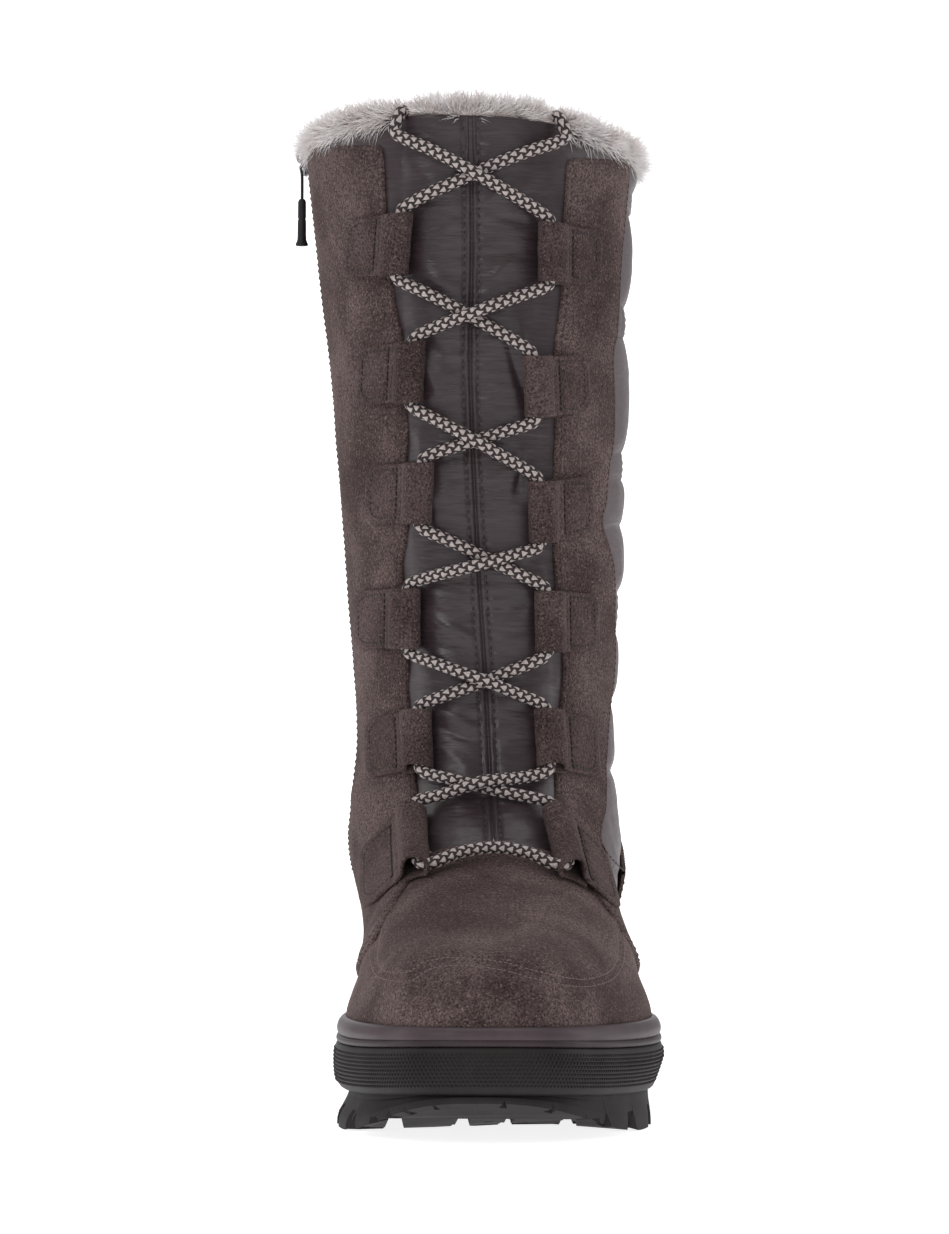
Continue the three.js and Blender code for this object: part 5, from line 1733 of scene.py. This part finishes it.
def fur_strip(name, span, lay, count, length, settings):
    """Hair rooted on part of the fur's bed, between two rows of its section, with its lay at each point."""
    rows = np.array(FUR_BED[span[0] : span[1]], float)
    fine = smooth_line(rows, 0.8)
    turn = np.linspace(-math.pi, math.pi, 220)[None, :]
    z, out = fine[:, :1] + 0 * turn, fine[:, 1:] + 0 * turn
    turn = turn + 0 * z
    points = surface(turn, z, out - 0.25)
    rows_count, columns = z.shape
    source = mesh_object(name + "_roots", (points.reshape(-1, 3), grid_faces(rows_count, columns)))
    outwards = unit(surface(turn, 300 + 0 * z, 1.0 + 0 * z) - surface(turn, 300 + 0 * z, 0 * z))
    around = unit(np.cross(np.array([0, 0, 1.0]), outwards))
    share = np.linspace(0, 1, rows_count)[:, None] + 0 * z
    vectors(source.data, "lay", lay(turn, share, outwards, around).reshape(-1, 3))
    source.data.attributes.new("long", "FLOAT", "POINT").data.foreach_set("value", hair_length(turn).ravel())
    area = sum(p.area for p in source.data.polygons)
    part = part_object("hair", *hair_part(length, *settings["shape"]))
    # share of the way from root to tip, which the fur material uses for painted shade towards the roots
    height = part.data.attributes.new("height", "FLOAT", "POINT")
    height.data.foreach_set("value", [min(1.0, v.co.z * 1000 / length * 1.15) for v in part.data.vertices])
    values = {
        "Part": part, "Density": count / area, "Spread": settings["stray"], "Clump": settings["clump"],
        "Clump size": across(settings["clump_size"]), "Shortest": settings["shortest"],
        "Seed": settings["seed"],
        "Material": FUR,
    }
    made = run_tree(source, pile_tree(), name, values)
    bpy.data.objects.remove(part)
    settle(made)


def fur_front(turn):
    """1 over the front panel, 0 past the facings."""
    return 1 - step_between(20 * DEGREE, 34 * DEGREE, np.abs(turn))


def hair_length(turn):
    """Share of the full length round the collar: short where a lace end lies in the fur."""
    z = COLLAR_HEIGHT - 4
    ends = [float(angle_at(seam(z) + side * LACE_TOP["reach"][side], z)) for side in (-1, 1)]
    return 1 - 0.55 * sum(bell(turn - end, 4 * DEGREE) for end in ends)


def combed(turn, amount):
    """How far the hair sweeps round the collar: away from the middle of the front, then back and forth."""
    return (amount * np.tanh(6 * (turn + 0.06)) * np.exp(-np.abs(turn)) + 0.3 * np.sin(5 * turn + 0.8))[...,
        None]


def outer_lay(turn, share, outwards, around):
    front = fur_front(turn)[..., None]
    share = share[..., None]
    up = np.array([0, 0, 1.0])
    sides = outwards * (1.0 - 0.2 * share) + up * (-0.95 + 1.35 * share)
    centre = outwards * (0.55 - 0.3 * share) + up * 1.0
    return front * centre + (1 - front) * sides + combed(turn, 0.9) * around


def top_lay(turn, share, outwards, around):
    front = fur_front(turn)[..., None]
    share = share[..., None]
    up = np.array([0, 0, 1.0])
    leaning = outwards * (0.85 - 1.1 * share) * (1 - 0.6 * front) + up * (0.7 + 0.45 * front)
    return leaning + combed(turn, 0.8) * around


def inner_lay(turn, share, outwards, around):
    share = share[..., None]
    return outwards * (-0.75) + np.array([0, 0, 1.0]) * (0.9 - 1.5 * share) + 0.2 * around


def fur_cuff():
    # the bed's colour is painted shade under the hair
    piece("fur_bed", hoop(FUR_BED, surface, 240), SHADED_FUR_BED, ["fur_cuff"])
    coat = {"shape": (0.16, 3.4), "stray": 0.22, "clump": 3.2, "clump_size": 4.2, "shortest": 0.45, "seed": 3}
    fur_strip("fur_outer", (0, 5), outer_lay, 9500, 9.5, coat)
    fur_strip("fur_top", (3, 8), top_lay, 8000, 7.5, coat | {"seed": 4})
    fur_strip("fur_inner", (7, 12), inner_lay, 4500, 7.5, coat | {"seed": 6})


zip_pieces()
all_stitching()
fur_cuff()


# ------------------------------------------------------------------------------------ floor, light and camera

VIEWPOINT = (-0.0537, -1.784, 0.165)  # metres, level with the middle of the shaft
LENS, FILM = 154.9, 36.0
TURN, ROLL = -1.726, -0.3  # degrees


def backdrop():
    """A seamless pale paper, lit from behind where it rises behind the boot."""
    ends, steps = 0.8, 24
    profile = [(-3.0, 0.0), (1.6, 0.0)]
    profile += [(1.6 + 0.8 * math.sin(a), 0.8 - 0.8 * math.cos(a))
        for a in np.linspace(0, math.pi / 2, steps)[1:]]
    profile.append((2.4, 4.0))
    points = [(x, y, z) for y, z in profile for x in (-ends, ends)]
    mesh = bpy.data.meshes.new("backdrop")
    mesh.from_pydata(points, [], [(2 * k, 2 * k + 1, 2 * k + 3, 2 * k + 2) for k in range(len(profile) - 1)])
    mesh.polygons.foreach_set("use_smooth", [True] * len(mesh.polygons))
    made = bpy.data.objects.new("backdrop", mesh)
    bpy.context.scene.collection.objects.link(made)
    paper, tree, shader, place = material("backlit_paper")
    parts = add(tree, "ShaderNodeSeparateXYZ", {0: place})
    glow = add(tree, "ShaderNodeMapRange", {0: parts.outputs[1], 1: 0.3, 2: 2.0, 3: 0.85, 4: 1.0})
    tree.links.new(glow.outputs[0], shader["Emission Strength"])
    shader["Emission Color"].default_value = colour("#ffffff")
    shader["Base Color"].default_value = colour("#c8c8c8")
    shader["Roughness"].default_value = 0.9
    mesh.materials.append(paper)


def lamp(name, place, target, size, power, tint="#ffffff"):
    data = bpy.data.lights.new(name, "AREA")
    data.shape, data.size, data.size_y = "RECTANGLE", size[0], size[1]
    data.energy, data.color = power, colour(tint)[:3]
    made = bpy.data.objects.new(name, data)
    made.location = place
    made.rotation_euler = (Vector(target) - Vector(place)).to_track_quat("-Z", "Y").to_euler()
    bpy.context.scene.collection.objects.link(made)


def studio():
    world = bpy.data.worlds.new("soft_white")
    world.use_nodes = True
    world.node_tree.nodes["Background"].inputs["Color"].default_value = colour("#ffffff")
    world.node_tree.nodes["Background"].inputs["Strength"].default_value = 0.42
    bpy.context.scene.world = world
    lamp("key", (-1.1, -1.7, 1.5), (0, 0, 0.16), (1.0, 1.2), 14)
    lamp("left_rim", (-1.5, 0.35, 0.6), (0, 0, 0.18), (0.6, 1.6), 5)
    lamp("right_rim", (1.5, 0.35, 0.6), (0, 0, 0.18), (0.6, 1.6), 7)
    lamp("overhead", (0, 0.1, 1.25), (0, 0, 0.3), (0.7, 0.7), 3.5)
    lamp("front_low", (0.5, -2.2, 0.5), (0, 0, 0.1), (1.4, 0.9), 3)
    bpy.context.scene.view_settings.view_transform = "Standard"


def camera():
    data = bpy.data.cameras.new("camera")
    data.lens, data.sensor_width = LENS, FILM
    made = bpy.data.objects.new("camera", data)
    made.location = VIEWPOINT
    made.rotation_euler = (math.pi / 2, math.radians(ROLL), math.radians(TURN))
    bpy.context.scene.collection.objects.link(made)
    bpy.context.scene.camera = made


backdrop()
studio()
camera()
